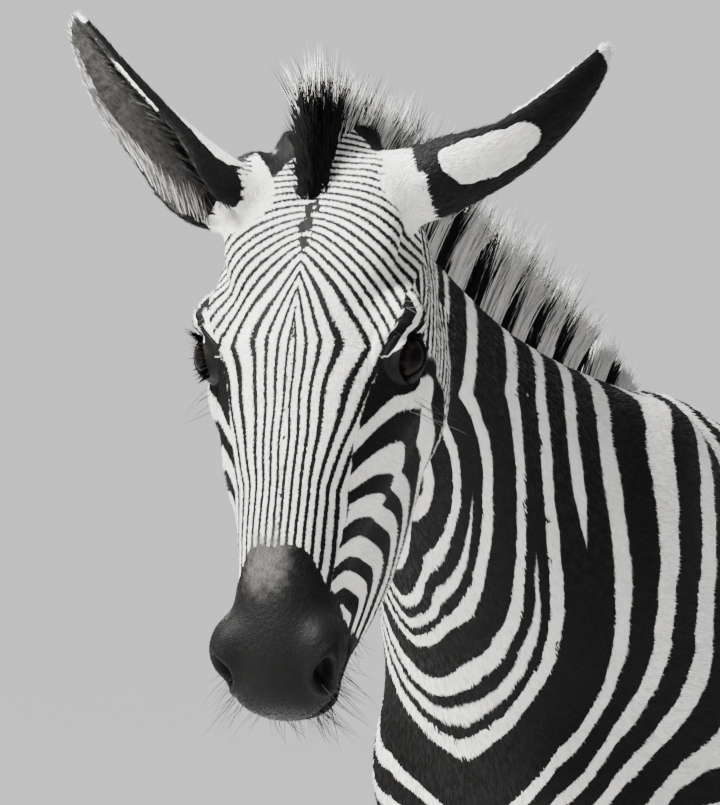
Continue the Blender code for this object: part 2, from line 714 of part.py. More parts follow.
def main():
    for obj in list(bpy.data.objects):
        bpy.data.objects.remove(obj)
    frame = head_frame()
    whole = whole_body(frame)
    face, body = reduced(whole, FACE_TRIANGLES), reduced(whole, BODY_TRIANGLES)
    bpy.data.objects.remove(whole)

    head, neck = head_and_neck(face, body)
    shoulders = split(body, (0, GIRTH, 0), (0, -1, 0), "shoulders")
    hindquarters = split(body, (0, FLANK, 0), (0, 1, 0), "hindquarters")
    body.name = "barrel"
    parts = legs(shoulders, ELBOW, KNEE, "fore") + legs(hindquarters, STIFLE, HOCK, "hind")
    parts += hair(frame, head, neck, shoulders, hindquarters)
    for side in EARS:
        parts.append(largest(minus(ear(side, frame), (head,), CLEAR)))
        socket = eye(side, frame, EYE_RADIUS + CLEAR)
        head = largest(minus(head, (socket,), 0))
        bpy.data.objects.remove(socket)
        parts.append(eye(side, frame, EYE_RADIUS))
    parts += [head, neck, shoulders, body, hindquarters]
    finish(parts)


main()
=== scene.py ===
"""The looks of a standing plains zebra: skin, eyes, hooves and a coat of solid tufts.

Shapes are made in a design frame, where the animal faces -Y with its left on +X and stands on z = 0, and are
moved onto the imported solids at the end. The head has a frame of its own: poll at the origin, muzzle on -Y,
forehead on +Z. There, along is the distance from the poll to the muzzle, out from the middle, and deep is z.
"""

import json
import math

import bmesh
import bpy
import numpy as np
from mathutils import Matrix, Vector
from mathutils.bvhtree import BVHTree

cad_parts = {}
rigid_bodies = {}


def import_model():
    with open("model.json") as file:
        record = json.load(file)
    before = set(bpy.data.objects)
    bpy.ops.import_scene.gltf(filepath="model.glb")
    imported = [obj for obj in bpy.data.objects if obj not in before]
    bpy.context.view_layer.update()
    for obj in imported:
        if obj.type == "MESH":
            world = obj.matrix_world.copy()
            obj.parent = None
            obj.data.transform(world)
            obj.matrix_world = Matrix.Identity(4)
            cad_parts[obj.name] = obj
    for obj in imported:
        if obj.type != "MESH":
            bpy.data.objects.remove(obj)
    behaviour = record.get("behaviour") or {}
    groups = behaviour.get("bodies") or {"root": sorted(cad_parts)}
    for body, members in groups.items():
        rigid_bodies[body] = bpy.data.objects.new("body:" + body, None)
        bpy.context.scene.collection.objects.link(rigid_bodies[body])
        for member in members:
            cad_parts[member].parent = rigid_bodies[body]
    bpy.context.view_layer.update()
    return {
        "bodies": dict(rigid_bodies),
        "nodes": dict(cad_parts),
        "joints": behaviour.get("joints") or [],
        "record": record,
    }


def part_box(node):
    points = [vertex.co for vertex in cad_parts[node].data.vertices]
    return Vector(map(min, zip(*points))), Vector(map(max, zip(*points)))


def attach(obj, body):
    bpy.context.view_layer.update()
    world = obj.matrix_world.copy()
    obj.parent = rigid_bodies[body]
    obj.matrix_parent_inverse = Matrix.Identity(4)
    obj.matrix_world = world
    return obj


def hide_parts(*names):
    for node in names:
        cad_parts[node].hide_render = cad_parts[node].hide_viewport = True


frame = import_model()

# ---------------------------------------------------------------- sizes, as in the solids
VOXEL = 0.003  # fusing grid
SMOOTHING, SMOOTHING_STEP = 570, 0.7  # passes, and how far each goes
SKIN_TRIANGLES = 172000
THINNING = 2.5e-5  # how much more of the trunk goes than of the head
POLL = Vector((0.070, -0.615, 1.508))
HEAD_YAW = math.radians(16)
HEAD_PITCH = math.radians(68)
TRUNK_STRETCH = 0.93
BEND_START = -0.05
BEND = POLL.x / (POLL.y - BEND_START) ** 2
JAW_BOX = 0.55
EYE_RADIUS = 0.0205
EYE_PLACE = Vector((0.0835, -0.170, -0.044))
EYE_AXIS = Vector((0.76, -0.30, 0.58)).normalized()
SOCKET_RADIUS = 0.023
SOCKET_AHEAD = 0.022
EAR_LENGTH = 0.230
EAR_WALL = 0.0066
HOOF_TOP = 0.062
MANE_SUNK = 0.012  # the mane's foot under the skin
GAP = 0.0004  # between a leg and its hoof
EAR_WIDEST = 0.3  # share of the ear's length where it starts to narrow
EAR_TAPER = 0.715  # and the share over which it would come to a point
EAR_AROUND = 0.085  # all of an ear is within this of its axis
# Trunk and neck, tail end first: (y, z) of the top line, (y, z) of the underline, half width, pear.
# Pear is how much wider the lower half is than the upper.
TRUNK = (
    ((1.135, 1.085), (1.150, 0.985), 0.060, 0.0),
    ((1.105, 1.165), (1.120, 0.900), 0.135, 0.0),
    ((1.040, 1.230), (1.050, 0.830), 0.190, 0.05),
    ((0.950, 1.268), (0.960, 0.775), 0.222, 0.05),
    ((0.840, 1.285), (0.840, 0.735), 0.236, 0.05),
    ((0.720, 1.280), (0.710, 0.695), 0.240, 0.08),
    ((0.560, 1.258), (0.545, 0.655), 0.256, 0.12),
    ((0.380, 1.248), (0.360, 0.635), 0.262, 0.14),
    ((0.200, 1.266), (0.180, 0.640), 0.240, 0.14),
    ((0.070, 1.298), (0.020, 0.665), 0.200, 0.12),
    ((-0.040, 1.320), (-0.120, 0.715), 0.164, 0.08),
    ((-0.140, 1.342), (-0.210, 0.800), 0.134, 0.05),
    ((-0.240, 1.371), (-0.264, 0.915), 0.108, 0.05),
    ((-0.340, 1.406), (-0.314, 1.040), 0.088, 0.0),
    ((-0.430, 1.442), (-0.376, 1.145), 0.077, 0.0),
    ((-0.510, 1.472), (-0.426, 1.225), 0.071, 0.0),
    ((-0.575, 1.488), (-0.466, 1.275), 0.066, 0.0),
    ((-0.620, 1.476), (-0.540, 1.320), 0.058, 0.0),
)
# Head, in its own frame, poll first: distance from the poll, top, bottom, half width.
SKULL = (
    (-0.014, -0.032, -0.110, 0.042),
    (0.010, -0.010, -0.150, 0.066),
    (0.047, 0.004, -0.175, 0.082),
    (0.093, 0.011, -0.185, 0.092),
    (0.140, 0.012, -0.190, 0.097),
    (0.177, 0.009, -0.188, 0.095),
    (0.214, 0.005, -0.178, 0.087),
    (0.251, 0.001, -0.164, 0.076),
    (0.288, -0.004, -0.148, 0.063),
    (0.325, -0.009, -0.132, 0.052),
    (0.363, -0.013, -0.120, 0.045),
    (0.400, -0.018, -0.118, 0.046),
    (0.428, -0.024, -0.118, 0.050),
    (0.456, -0.034, -0.112, 0.049),
    (0.474, -0.047, -0.106, 0.042),
    (0.486, -0.062, -0.098, 0.027),
)
JAW = (
    (0.045, -0.090, -0.205, 0.048),
    (0.085, -0.090, -0.236, 0.060),
    (0.130, -0.090, -0.250, 0.066),
    (0.180, -0.090, -0.250, 0.067),
    (0.235, -0.085, -0.245, 0.066),
    (0.285, -0.080, -0.231, 0.062),
    (0.335, -0.075, -0.213, 0.056),
    (0.375, -0.070, -0.190, 0.048),
    (0.410, -0.070, -0.164, 0.040),
    (0.440, -0.070, -0.145, 0.035),
    (0.460, -0.080, -0.130, 0.025),
)
# Legs, from inside the trunk down: height, y of the middle, x of the middle, half width, half depth.
FORE_LEG = (
    (1.060, -0.100, 0.080, 0.050, 0.105),
    (0.930, -0.115, 0.098, 0.060, 0.112),
    (0.830, -0.092, 0.118, 0.060, 0.102),
    (0.750, -0.073, 0.128, 0.055, 0.086),
    (0.670, -0.068, 0.130, 0.047, 0.066),
    (0.580, -0.070, 0.126, 0.037, 0.049),
    (0.490, -0.074, 0.122, 0.030, 0.038),
    (0.430, -0.078, 0.120, 0.033, 0.036),
    (0.400, -0.079, 0.120, 0.035, 0.037),
    (0.370, -0.077, 0.120, 0.031, 0.033),
    (0.330, -0.073, 0.120, 0.023, 0.026),
    (0.250, -0.070, 0.120, 0.0195, 0.0245),
    (0.190, -0.070, 0.120, 0.0215, 0.0275),
    (0.155, -0.070, 0.120, 0.0275, 0.0345),
    (0.125, -0.081, 0.120, 0.0255, 0.0280),
    (0.095, -0.097, 0.120, 0.0285, 0.0300),
    (0.060, -0.112, 0.120, 0.0340, 0.0370),
)
HIND_LEG = (
    (1.130, 0.870, 0.100, 0.085, 0.150),
    (1.020, 0.895, 0.128, 0.095, 0.172),
    (0.910, 0.870, 0.138, 0.090, 0.172),
    (0.810, 0.835, 0.142, 0.078, 0.148),
    (0.730, 0.850, 0.140, 0.060, 0.108),
    (0.650, 0.895, 0.136, 0.045, 0.074),
    (0.580, 0.935, 0.132, 0.035, 0.053),
    (0.530, 0.966, 0.130, 0.032, 0.050),
    (0.490, 0.980, 0.130, 0.035, 0.050),
    (0.450, 0.974, 0.130, 0.035, 0.044),
    (0.400, 0.964, 0.130, 0.028, 0.034),
    (0.340, 0.958, 0.130, 0.0225, 0.0285),
    (0.250, 0.952, 0.130, 0.0205, 0.0265),
    (0.190, 0.948, 0.130, 0.0225, 0.0285),
    (0.155, 0.944, 0.130, 0.0275, 0.0345),
    (0.125, 0.930, 0.130, 0.0255, 0.0280),
    (0.095, 0.914, 0.130, 0.0280, 0.0300),
    (0.060, 0.900, 0.130, 0.0335, 0.0360),
)
# How far each hoof stands ahead of (-) or behind (+) its leg's own line, and the height it swings from.
STANCE = {"fore_left": -0.030, "fore_right": 0.045, "hind_left": 0.055, "hind_right": -0.050}
SWING_FROM = {"fore": 0.90, "hind": 0.98}
TAIL = (
    ((1.020, 1.170), 0.040),
    ((1.075, 1.178), 0.038),
    ((1.120, 1.150), 0.033),
    ((1.146, 1.090), 0.027),
    ((1.158, 1.000), 0.022),
    ((1.163, 0.900), 0.018),
    ((1.164, 0.840), 0.016),
)
# Tail tuft: height, radius, how far it stands behind the tail's line.
TUFT = (
    (0.840, 0.016, 0.000),
    (0.825, 0.022, 0.000),
    (0.780, 0.030, 0.002),
    (0.710, 0.037, 0.004),
    (0.620, 0.036, 0.002),
    (0.540, 0.028, -0.004),
    (0.480, 0.016, -0.010),
    (0.455, 0.006, -0.012),
)
# Hooves: share of the way down, how far ahead of the coronet, and the size against the coronet's.
HOOF = (
    (0.0, 0.000, 1.03, 1.03),
    (0.12, 0.004, 1.10, 1.10),
    (0.94, 0.021, 1.30, 1.38),
    (1.0, 0.022, 1.28, 1.36),
)
# Mane: distance from the poll or y, the way the hair stands as (y, z), height, half thickness of the foot.
MANE_ON_HEAD = (
    (0.050, (0.45, 0.89), 0.036, 0.010),
    (0.028, (0.62, 0.78), 0.070, 0.013),
    (0.002, (0.80, 0.60), 0.098, 0.015),
)
MANE_ON_NECK = (
    (-0.585, (0.16, 0.99), 0.106, 0.016),
    (-0.530, (0.34, 0.94), 0.114, 0.018),
    (-0.470, (0.46, 0.89), 0.120, 0.019),
    (-0.400, (0.52, 0.85), 0.122, 0.019),
    (-0.330, (0.55, 0.83), 0.122, 0.019),
    (-0.260, (0.55, 0.83), 0.118, 0.018),
    (-0.190, (0.55, 0.83), 0.108, 0.017),
    (-0.120, (0.54, 0.84), 0.092, 0.015),
    (-0.050, (0.52, 0.85), 0.068, 0.012),
    (0.010, (0.50, 0.87), 0.044, 0.009),
    (0.045, (0.46, 0.89), 0.022, 0.006),
)
# Muscles and bony points: centre, radii, turn about X, Y and Z in degrees. Those off the middle are mirrored.
BODY_MASSES = (
    ((0.085, -0.080, 1.120), (0.068, 0.110, 0.190), (-16, 0, 0)),  # shoulder blade and its muscles
    ((0.080, -0.185, 0.965), (0.052, 0.080, 0.110), (-30, 0, 0)),  # point of the shoulder
    ((0.112, -0.045, 0.880), (0.066, 0.125, 0.125), (25, 0, 0)),  # triceps
    ((0.044, -0.195, 0.880), (0.056, 0.066, 0.112), (-12, 0, 0)),  # breast
    ((0.118, 0.000, 0.770), (0.038, 0.040, 0.055), (0, 0, 0)),  # elbow
    ((0.000, 0.040, 1.225), (0.055, 0.190, 0.086), (3, 0, 0)),  # withers
    ((0.090, 0.800, 1.140), (0.115, 0.185, 0.130), (8, 0, 0)),  # croup
    ((0.155, 0.655, 1.140), (0.048, 0.060, 0.060), (0, 0, 0)),  # point of the hip
    ((0.105, 0.900, 1.010), (0.100, 0.145, 0.200), (8, 0, 0)),  # buttock
    ((0.150, 0.725, 0.860), (0.062, 0.085, 0.125), (-20, 0, 0)),  # stifle
)
# These follow a hind leg's stance.
HOCK_MASSES = (
    ((0.132, 0.922, 0.588), (0.014, 0.022, 0.078), (16, 0, 0)),  # tendon above the hock
    ((0.130, 0.942, 0.528), (0.019, 0.023, 0.032), (0, 0, 0)),  # point of the hock
)
HEAD_MASSES = (
    ((0.050, -0.145, -0.155), (0.037, 0.090, 0.085), (0, 0, 0)),  # cheek
    ((0.080, -0.150, -0.030), (0.029, 0.040, 0.020), (0, 0, 0)),  # brow over the eye
    ((0.076, -0.188, -0.072), (0.024, 0.046, 0.022), (0, 0, -6)),  # rim under the eye
    ((0.070, -0.110, -0.055), (0.026, 0.050, 0.030), (0, 0, 0)),  # arch behind the eye
    ((0.058, -0.252, -0.078), (0.021, 0.070, 0.026), (0, 0, -12)),  # facial crest
    ((0.040, -0.432, -0.056), (0.021, 0.030, 0.030), (0, 0, 0)),  # nostril
    ((0.000, -0.446, -0.082), (0.049, 0.032, 0.036), (0, 0, 0)),  # upper lip
    ((0.000, -0.450, -0.118), (0.039, 0.026, 0.022), (0, 0, 0)),  # lower lip
    ((0.000, -0.426, -0.130), (0.033, 0.030, 0.020), (0, 0, 0)),  # chin
    ((0.036, -0.070, -0.010), (0.046, 0.068, 0.020), (0, 0, 0)),  # temple
    ((0.058, -0.025, -0.024), (0.034, 0.038, 0.036), (0, 0, 0)),  # root of the ear
    ((0.000, 0.005, -0.030), (0.052, 0.050, 0.030), (0, 0, 0)),  # poll
)
# Ears, in the head's frame: middle of the base, the way the ear points, the way its cup opens, and how much
# the ear bends towards its opening.
EARS = {
    "left": ((0.064, -0.026, -0.028), (0.732, 0.672, -0.111), (-0.677, 0.736, -0.005), 0.055),
    "right": ((-0.060, -0.044, -0.018), (-0.644, 0.581, 0.497), (-0.325, -0.797, 0.510), -0.140),
}


def bend(point):
    """A point of the straight neck, where the neck curves to the left."""
    x, y, z = point
    return Vector((x + BEND * max(0.0, BEND_START - y) ** 2, y, z))


def head_frame():
    """The head's own frame, with the poll at the origin, the muzzle on -Y and the forehead on +Z."""
    turn = Matrix.Rotation(HEAD_YAW, 4, "Z") @ Matrix.Rotation(HEAD_PITCH, 4, "X")
    return Matrix.Translation(POLL) @ turn


def stretched(y):
    return y * TRUNK_STRETCH if y > 0 else y


def crest_height(y):
    """Top line of the trunk and neck at places along the straight neck."""
    line = sorted((stretched(top[0]), top[1]) for top, _, _, _ in TRUNK)
    return np.interp(y, *zip(*line))


# ---------------------------------------------------------------- meshes
def loft(name, rings):
    """A closed tube through rings of equal numbers of points, with flat ends."""
    bm = bmesh.new()
    rows = [[bm.verts.new(p) for p in ring] for ring in rings]
    bridge(bm, rows)
    bm.faces.new(rows[0])
    bm.faces.new(rows[-1])
    bmesh.ops.recalc_face_normals(bm, faces=bm.faces)
    return finished(name, bm)


def bridge(bm, rows):
    """Quads between closed rows of equal numbers of points."""
    count = len(rows[0])
    for a, b in zip(rows, rows[1:]):
        for i in range(count):
            j = (i + 1) % count
            bm.faces.new((a[i], a[j], b[j], b[i]))


def linked(name, data):
    obj = bpy.data.objects.new(name, data)
    bpy.context.scene.collection.objects.link(obj)
    return obj


def finished(name, bm):
    mesh = bpy.data.meshes.new(name)
    bm.to_mesh(mesh)
    bm.free()
    return linked(name, mesh)


def oval(top, bottom, half_width, pear=0.0, box=1.0, count=32):
    """A ring whose top and bottom are points of the middle plane. A box below 1 squares its corners."""
    middle, half = (top + bottom) / 2, (top - bottom) / 2
    ring = []
    for i in range(count):
        angle = math.tau * i / count
        up, out = math.sin(angle), math.cos(angle)
        out = math.copysign(abs(out) ** box, out)
        ring.append(middle + half * up + Vector((half_width * out * (1 - pear * up), 0, 0)))
    return ring


def flat_oval(centre, half_width, half_depth, count=24):
    """A level ring."""
    turns = (math.tau * i / count for i in range(count))
    return [centre + Vector((half_width * math.cos(a), half_depth * math.sin(a), 0)) for a in turns]


def ellipsoid(name, centre, radii, turn, frame):
    bm = bmesh.new()
    bmesh.ops.create_icosphere(bm, subdivisions=4, radius=1)
    rotation = Matrix.Rotation(math.radians(turn[2]), 4, "Z")
    rotation @= Matrix.Rotation(math.radians(turn[1]), 4, "Y")
    rotation @= Matrix.Rotation(math.radians(turn[0]), 4, "X")
    place = frame @ Matrix.Translation(centre) @ rotation @ Matrix.Diagonal((*radii, 1))
    bmesh.ops.transform(bm, matrix=place, verts=bm.verts)
    return finished(name, bm)


def masses(rows, frame):
    """The ellipsoids of a table, with the mirror images of those off the middle."""
    made = []
    for centre, radii, turn in rows:
        for side in (1, -1) if centre[0] else (1,):
            mirrored = (side * centre[0], *centre[1:])
            turned = (turn[0], side * turn[1], side * turn[2])
            made.append(ellipsoid("mass", mirrored, radii, turned, frame))
    return made


# ---------------------------------------------------------------- the body, whole
def side_of(name):
    """1 for a name of the animal's left, on +X, and -1 for its right."""
    return 1 if name.endswith("left") else -1


def trunk_and_neck():
    rings = []
    for top, bottom, half_width, pear in TRUNK:
        a = Vector((0, stretched(top[0]), top[1]))
        b = Vector((0, stretched(bottom[0]), bottom[1]))
        rings.append([bend(p) for p in oval(a, b, half_width, pear)])
    return loft("trunk_and_neck", rings)


def head_tube(name, rows, frame, box):
    rings = []
    for along, top, bottom, half_width in rows:
        ring = oval(Vector((0, -along, top)), Vector((0, -along, bottom)), half_width, 0.0, box)
        rings.append([frame @ p for p in ring])
    return loft(name, rings)


def leg_shift(name, height):
    """How far the stance carries a leg's middle line backwards at a height."""
    return STANCE[name] * max(0.0, 1 - height / SWING_FROM[name[:4]])


def leg_rows(name):
    return FORE_LEG if name.startswith("fore") else HIND_LEG


def leg_centre(name, height, y, x):
    return Vector((side_of(name) * x, stretched(y) + leg_shift(name, height), height))


def leg(name):
    rings = []
    for height, y, x, half_width, half_depth in leg_rows(name):
        rings.append(flat_oval(leg_centre(name, height, y, x), half_width, half_depth))
    return loft(name, rings)


def modified(obj, kind, **settings):
    """The object as one modifier leaves it, as a new plain mesh object in its place."""
    modifier = obj.modifiers.new(kind.lower(), kind)
    for name, value in settings.items():
        setattr(modifier, name, value)
    bpy.context.view_layer.update()
    graph = bpy.context.evaluated_depsgraph_get()
    mesh = bpy.data.meshes.new_from_object(obj.evaluated_get(graph))
    name = obj.name
    bpy.data.objects.remove(obj)
    return linked(name, mesh)


def joined(name, objects):
    bm = bmesh.new()
    for obj in objects:
        bm.from_mesh(obj.data)
        bpy.data.objects.remove(obj)
    return finished(name, bm)


def largest(obj):
    """Keeps the largest connected surface of a mesh, which leaves out chips and sealed pockets."""
    bm = bmesh.new()
    bm.from_mesh(obj.data)
    left, islands = set(bm.verts), []
    while left:
        waiting, island = [left.pop()], []
        while waiting:
            vert = waiting.pop()
            island.append(vert)
            for edge in vert.link_edges:
                other = edge.other_vert(vert)
                if other in left:
                    left.discard(other)
                    waiting.append(other)
        islands.append(island)
    islands.sort(key=len)
    for island in islands[:-1]:
        bmesh.ops.delete(bm, geom=island, context="VERTS")
    bm.to_mesh(obj.data)
    bm.free()
    return obj


def ear_section(share):
    """Radius and half angle of the ear's wrap at shares of its length."""
    radius = 0.030 + 0.020 * share * (1 - share)
    narrowed = np.maximum(share - EAR_WIDEST, 0) / EAR_TAPER
    radius = radius * np.sqrt(np.maximum(1 - narrowed**2, 0.01))
    return radius, np.radians(150 - 66 * steps(share, 0.0, 0.50) - 6 * share)


def ear(side, frame):
    """A leaf rolled into a cup."""
    base, way, opening = (Vector(v) for v in EARS[side][:3])
    way.normalize()
    opening = (opening - way * opening.dot(way)).normalized()
    across = way.cross(opening)
    lengths, turns = 48, 32
    bm = bmesh.new()
    rows = []
    for i in range(lengths + 1):
        share = i / lengths
        radius, half_angle = ear_section(share)
        middle = base + way * (EAR_LENGTH * share) + opening * (EARS[side][3] * (share**2 - share))
        row = []
        for j in range(turns + 1):
            angle = half_angle * (2 * j / turns - 1)
            point = middle - opening * (radius * math.cos(angle)) + across * (radius * math.sin(angle))
            row.append(bm.verts.new(frame @ point))
        rows.append(row)
    for a, b in zip(rows, rows[1:]):
        for j in range(turns):
            bm.faces.new((a[j], a[j + 1], b[j + 1], b[j]))
    return modified(finished("ear_" + side, bm), "SOLIDIFY", thickness=EAR_WALL, offset=0)


def mane_stations(head):
    """Along the mane from the forehead to the withers: foot, way the hair stands, height, half thickness."""
    stations = []
    for along, lift, height, half in MANE_ON_HEAD:
        foot = head @ Vector((0, -along, -MANE_SUNK))
        stations.append((foot, (head.to_3x3() @ Vector((0, *lift))).normalized(), height, half))
    for y, lift, height, half in MANE_ON_NECK:
        foot = bend((0, y, crest_height(y) - MANE_SUNK))
        stations.append((foot, Vector((0, *lift)).normalized(), height, half))
    return stations


def tail():
    """A round tube, its rings square to the tail's own line and the last one level."""
    line = [Vector((0, stretched(y), z)) for (y, z), _ in TAIL]
    across = Vector((1, 0, 0))
    rings = []
    for i, (centre, (_, radius)) in enumerate(zip(line, TAIL)):
        way = (line[min(i + 1, len(line) - 1)] - line[max(i - 1, 0)]).normalized()
        if i == len(line) - 1:
            way = Vector((0, 0, -1))
        other = way.cross(across)
        turns = (math.tau * k / 16 for k in range(16))
        spokes = ((radius * math.cos(a), radius * math.sin(a)) for a in turns)
        rings.append([centre + across * u + other * v for u, v in spokes])
    return loft("tail", rings)


def coronet(name):
    """A point and the normal of the sloping plane where a leg meets its hoof."""
    _, y, x, _, _ = leg_rows(name)[-1]
    return leg_centre(name, HOOF_TOP, y, x), Vector((0, 0.30, 1)).normalized()


# ---------------------------------------------------------------- the skin
def flesh(head):
    """Every mass of the animal, its ears and its tail, still apart."""
    shapes = [trunk_and_neck(), head_tube("skull", SKULL, head, 1.0), head_tube("jaw", JAW, head, JAW_BOX)]
    shapes += [leg(name) for name in STANCE]
    shapes += masses(BODY_MASSES, Matrix.Identity(4)) + masses(HEAD_MASSES, head)
    for name in ("hind_left", "hind_right"):
        for (x, y, z), radii, turn in HOCK_MASSES:
            centre = (side_of(name) * x, y + leg_shift(name, z), z)
            shapes.append(ellipsoid("mass", centre, radii, turn, Matrix.Identity(4)))
    return shapes + [tail(), ear("left", head), ear("right", head)]


def fused_skin(head):
    """One closed skin: the flesh fused, smoothed, sculpted, and thinned out behind the head."""
    back = head.inverted()
    body = largest(modified(joined("skin", flesh(head)), "REMESH", mode="VOXEL", voxel_size=VOXEL))
    local = to_frame(read_points(body.data), back)
    points = to_frame(hollowed(local), head)
    write_points(body.data, points)
    add_group(body, "soft", softness(points, local))
    body = modified(body, "SMOOTH", factor=SMOOTHING_STEP, iterations=SMOOTHING, vertex_group="soft")
    local = sculpted(to_frame(read_points(body.data), back))
    points = to_frame(local, head)
    write_points(body.data, points)
    add_group(body, "coarse", coarseness(local))
    ratio = SKIN_TRIANGLES / (2 * len(body.data.polygons))
    body = modified(body, "DECIMATE", ratio=ratio, vertex_group="coarse", vertex_group_factor=THINNING)
    body.vertex_groups.clear()
    return body


def read(rows, name, width=1, kind=np.int32):
    """One property of all vertices, loops or polygons of a mesh."""
    flat = np.empty(len(rows) * width, kind)
    rows.foreach_get(name, flat)
    return flat.reshape(-1, width) if width > 1 else flat


def read_vectors(rows, name):
    return read(rows, name, 3, np.float32).astype(float)


def read_points(mesh):
    return read_vectors(mesh.vertices, "co")


def write_points(mesh, points):
    mesh.vertices.foreach_set("co", points.astype(np.float32).ravel())
    mesh.update()


def to_frame(points, matrix):
    m = np.array(matrix, float)
    return points @ m[:3, :3].T + m[:3, 3]


def turned(vectors, matrix):
    return vectors @ np.array(matrix, float)[:3, :3].T


def steps(values, low, high):
    """0 below low, 1 above high, smooth between."""
    share = np.clip((values - low) / (high - low), 0, 1)
    return share * share * (3 - 2 * share)


def edge(inside, half):
    """0 outside and 1 inside of a soft edge, for distances inside it and half the edge's width."""
    return steps(inside, -half, half)


def unit(vectors):
    return vectors / np.maximum(np.linalg.norm(vectors, axis=-1, keepdims=True), 1e-9)


def add_group(obj, name, weights, grades=40):
    """A vertex group with weights rounded to a number of grades, so that each grade is one call."""
    group = obj.vertex_groups.new(name=name)
    levels = np.round(weights * grades).astype(int)
    for level in np.unique(levels):
        group.add(np.flatnonzero(levels == level).tolist(), float(level) / grades, "REPLACE")


def hollowed(local):
    """Points of the head's surface, pushed in where the lids leave an eye open."""
    side = np.where(local[:, 0] > 0, 1.0, -1.0)
    mirrored = local.copy()
    mirrored[:, 0] *= side
    axis, centre = np.array(EYE_AXIS), np.array(EYE_PLACE + EYE_AXIS * SOCKET_AHEAD)
    point = mirrored - centre
    inside = np.linalg.norm(point, axis=1) < SOCKET_RADIUS
    along = point @ axis
    off = np.linalg.norm(point - along[:, None] * axis, axis=1)
    depth = -np.sqrt(np.maximum(SOCKET_RADIUS**2 - off**2, 0)) - along
    mirrored[inside] += (depth[:, None] * axis)[inside]
    mirrored[:, 0] *= side
    return mirrored


def softness(points, local):
    """How much a place is smoothed: the trunk most, head and lower legs little, ears and tail hardly."""
    head = steps(local[:, 1], -0.02, 0.10)
    low = local[:, 2] < -0.12
    head[low] = np.maximum(head, steps(-0.12 - local[:, 2], 0.12, 0.30))[low]
    soft = np.minimum(0.12 + 0.88 * head, 0.05 + 0.95 * steps(points[:, 2], 0.50, 0.90))
    for side in EARS:
        share, off = ear_share(local, side)
        soft[(share > 0.10) & (off < 0.075)] = 0.02
    on_tail = (points[:, 1] > stretched(1.125)) & (np.abs(points[:, 0]) < 0.05) & (points[:, 2] < 1.15)
    soft[on_tail] = 0.02
    return soft


NOSTRIL = (0.0385, -0.447, -0.057)
NOSTRIL_OUT = (0.52, -0.76, 0.38)  # the way it opens
NOSTRIL_LONG = (0.10, 0.62, 0.78)  # along its slit, up and back
NOSTRIL_HALF = (0.0170, 0.0088)  # along the slit and across it
MOUTH_CORNER = 0.402  # from the poll
MOUTH_LINE = ((MOUTH_CORNER, 0.43, 0.46, 0.48), (-0.119, -0.115, -0.112, -0.111))  # along, depth
MOUTH_WIDTH = 0.0036
BROW_FOLDS = (0.030, 0.0050)  # from the eye's middle to the first fold, and between folds


def sculpted(local):
    """The head's points with nostrils, the line of the mouth and the folds over the eyes pressed in."""
    side = np.where(local[:, 0] > 0, 1.0, -1.0)
    place = local.copy()
    place[:, 0] *= side
    for press in (press_nostril, press_mouth, press_folds):
        press(place)
    place[:, 0] *= side
    return place


def press_nostril(place):
    """A slit that bends round its upper end, with a raised rim."""
    out, slit = unit(np.array(NOSTRIL_OUT)), np.array(NOSTRIL_LONG)
    slit = unit(slit - out * (slit @ out))
    off = place - np.array(NOSTRIL)
    u, v = off @ slit / NOSTRIL_HALF[0], off @ np.cross(out, slit) / NOSTRIL_HALF[1]
    radius = np.hypot(u, v + 0.55 * u**2 - 0.2)
    here = (off @ out > -0.022) & (radius < 3)
    hole = -0.015 * (1 - steps(radius, 0.35, 1.15))
    rim = 0.0026 * np.exp(-(((radius - 1.45) / 0.34) ** 2))
    place[here] += (out * (hole + rim)[:, None])[here]


def press_mouth(place):
    """A groove between two full lips, from the front back to the corner of the mouth."""
    along = -place[:, 1]
    inward = unit(np.stack([-place[:, 0], -(place[:, 1] + 0.425), np.zeros(len(place))], 1))
    open_part = steps(along, MOUTH_CORNER - 0.006, MOUTH_CORNER + 0.010)
    below = (place[:, 2] - np.interp(along, *MOUTH_LINE)) / MOUTH_WIDTH
    groove = 0.0080 * np.exp(-(below**2))
    lips = 0.0026 * (np.exp(-((below - 3.2) ** 2) / 4) + np.exp(-((below + 3.2) ** 2) / 4))
    place += inward * ((groove - lips) * open_part)[:, None]


def press_folds(place):
    """Wrinkles in arcs over the eye."""
    eye = place - np.array(EYE_PLACE)
    away = np.linalg.norm(eye, axis=1)
    first, pitch = BROW_FOLDS
    folds = 0.0011 * np.sin((away - first) / pitch * math.pi)
    folds = folds * steps(away, 0.029, 0.033) * steps(0.052 - away, 0, 0.014)
    folds *= steps(eye[:, 2], -0.004, 0.014)
    place += unit(eye) * folds[:, None]


def ear_axes(side):
    """An ear in the head's frame: middle of its base, the ways it points, opens and lies across, its curl."""
    base, way, opening = (np.array(v) for v in EARS[side][:3])
    way = unit(way)
    opening = unit(opening - way * (opening @ way))
    return base, way, opening, np.cross(way, opening), EARS[side][3]


def ear_share(local, side):
    """Share of the ear's length and distance from its axis, for points in the head's frame."""
    base, way = ear_axes(side)[:2]
    along = (local - base) @ way
    off = np.linalg.norm(local - base - along[:, None] * way, axis=1)
    return along / EAR_LENGTH, off


def coarseness(local):
    """1 where the skin may be coarse, 0 where it stays fine: the head and the ears."""
    rough = np.maximum(steps(local[:, 1], 0.03, 0.12), steps(-local[:, 2], 0.26, 0.34))
    for side in EARS:
        share, off = ear_share(local, side)
        rough[(share > -0.1) & (share < 1.1) & (off < EAR_AROUND)] = 0
    return 0.02 + 0.98 * rough


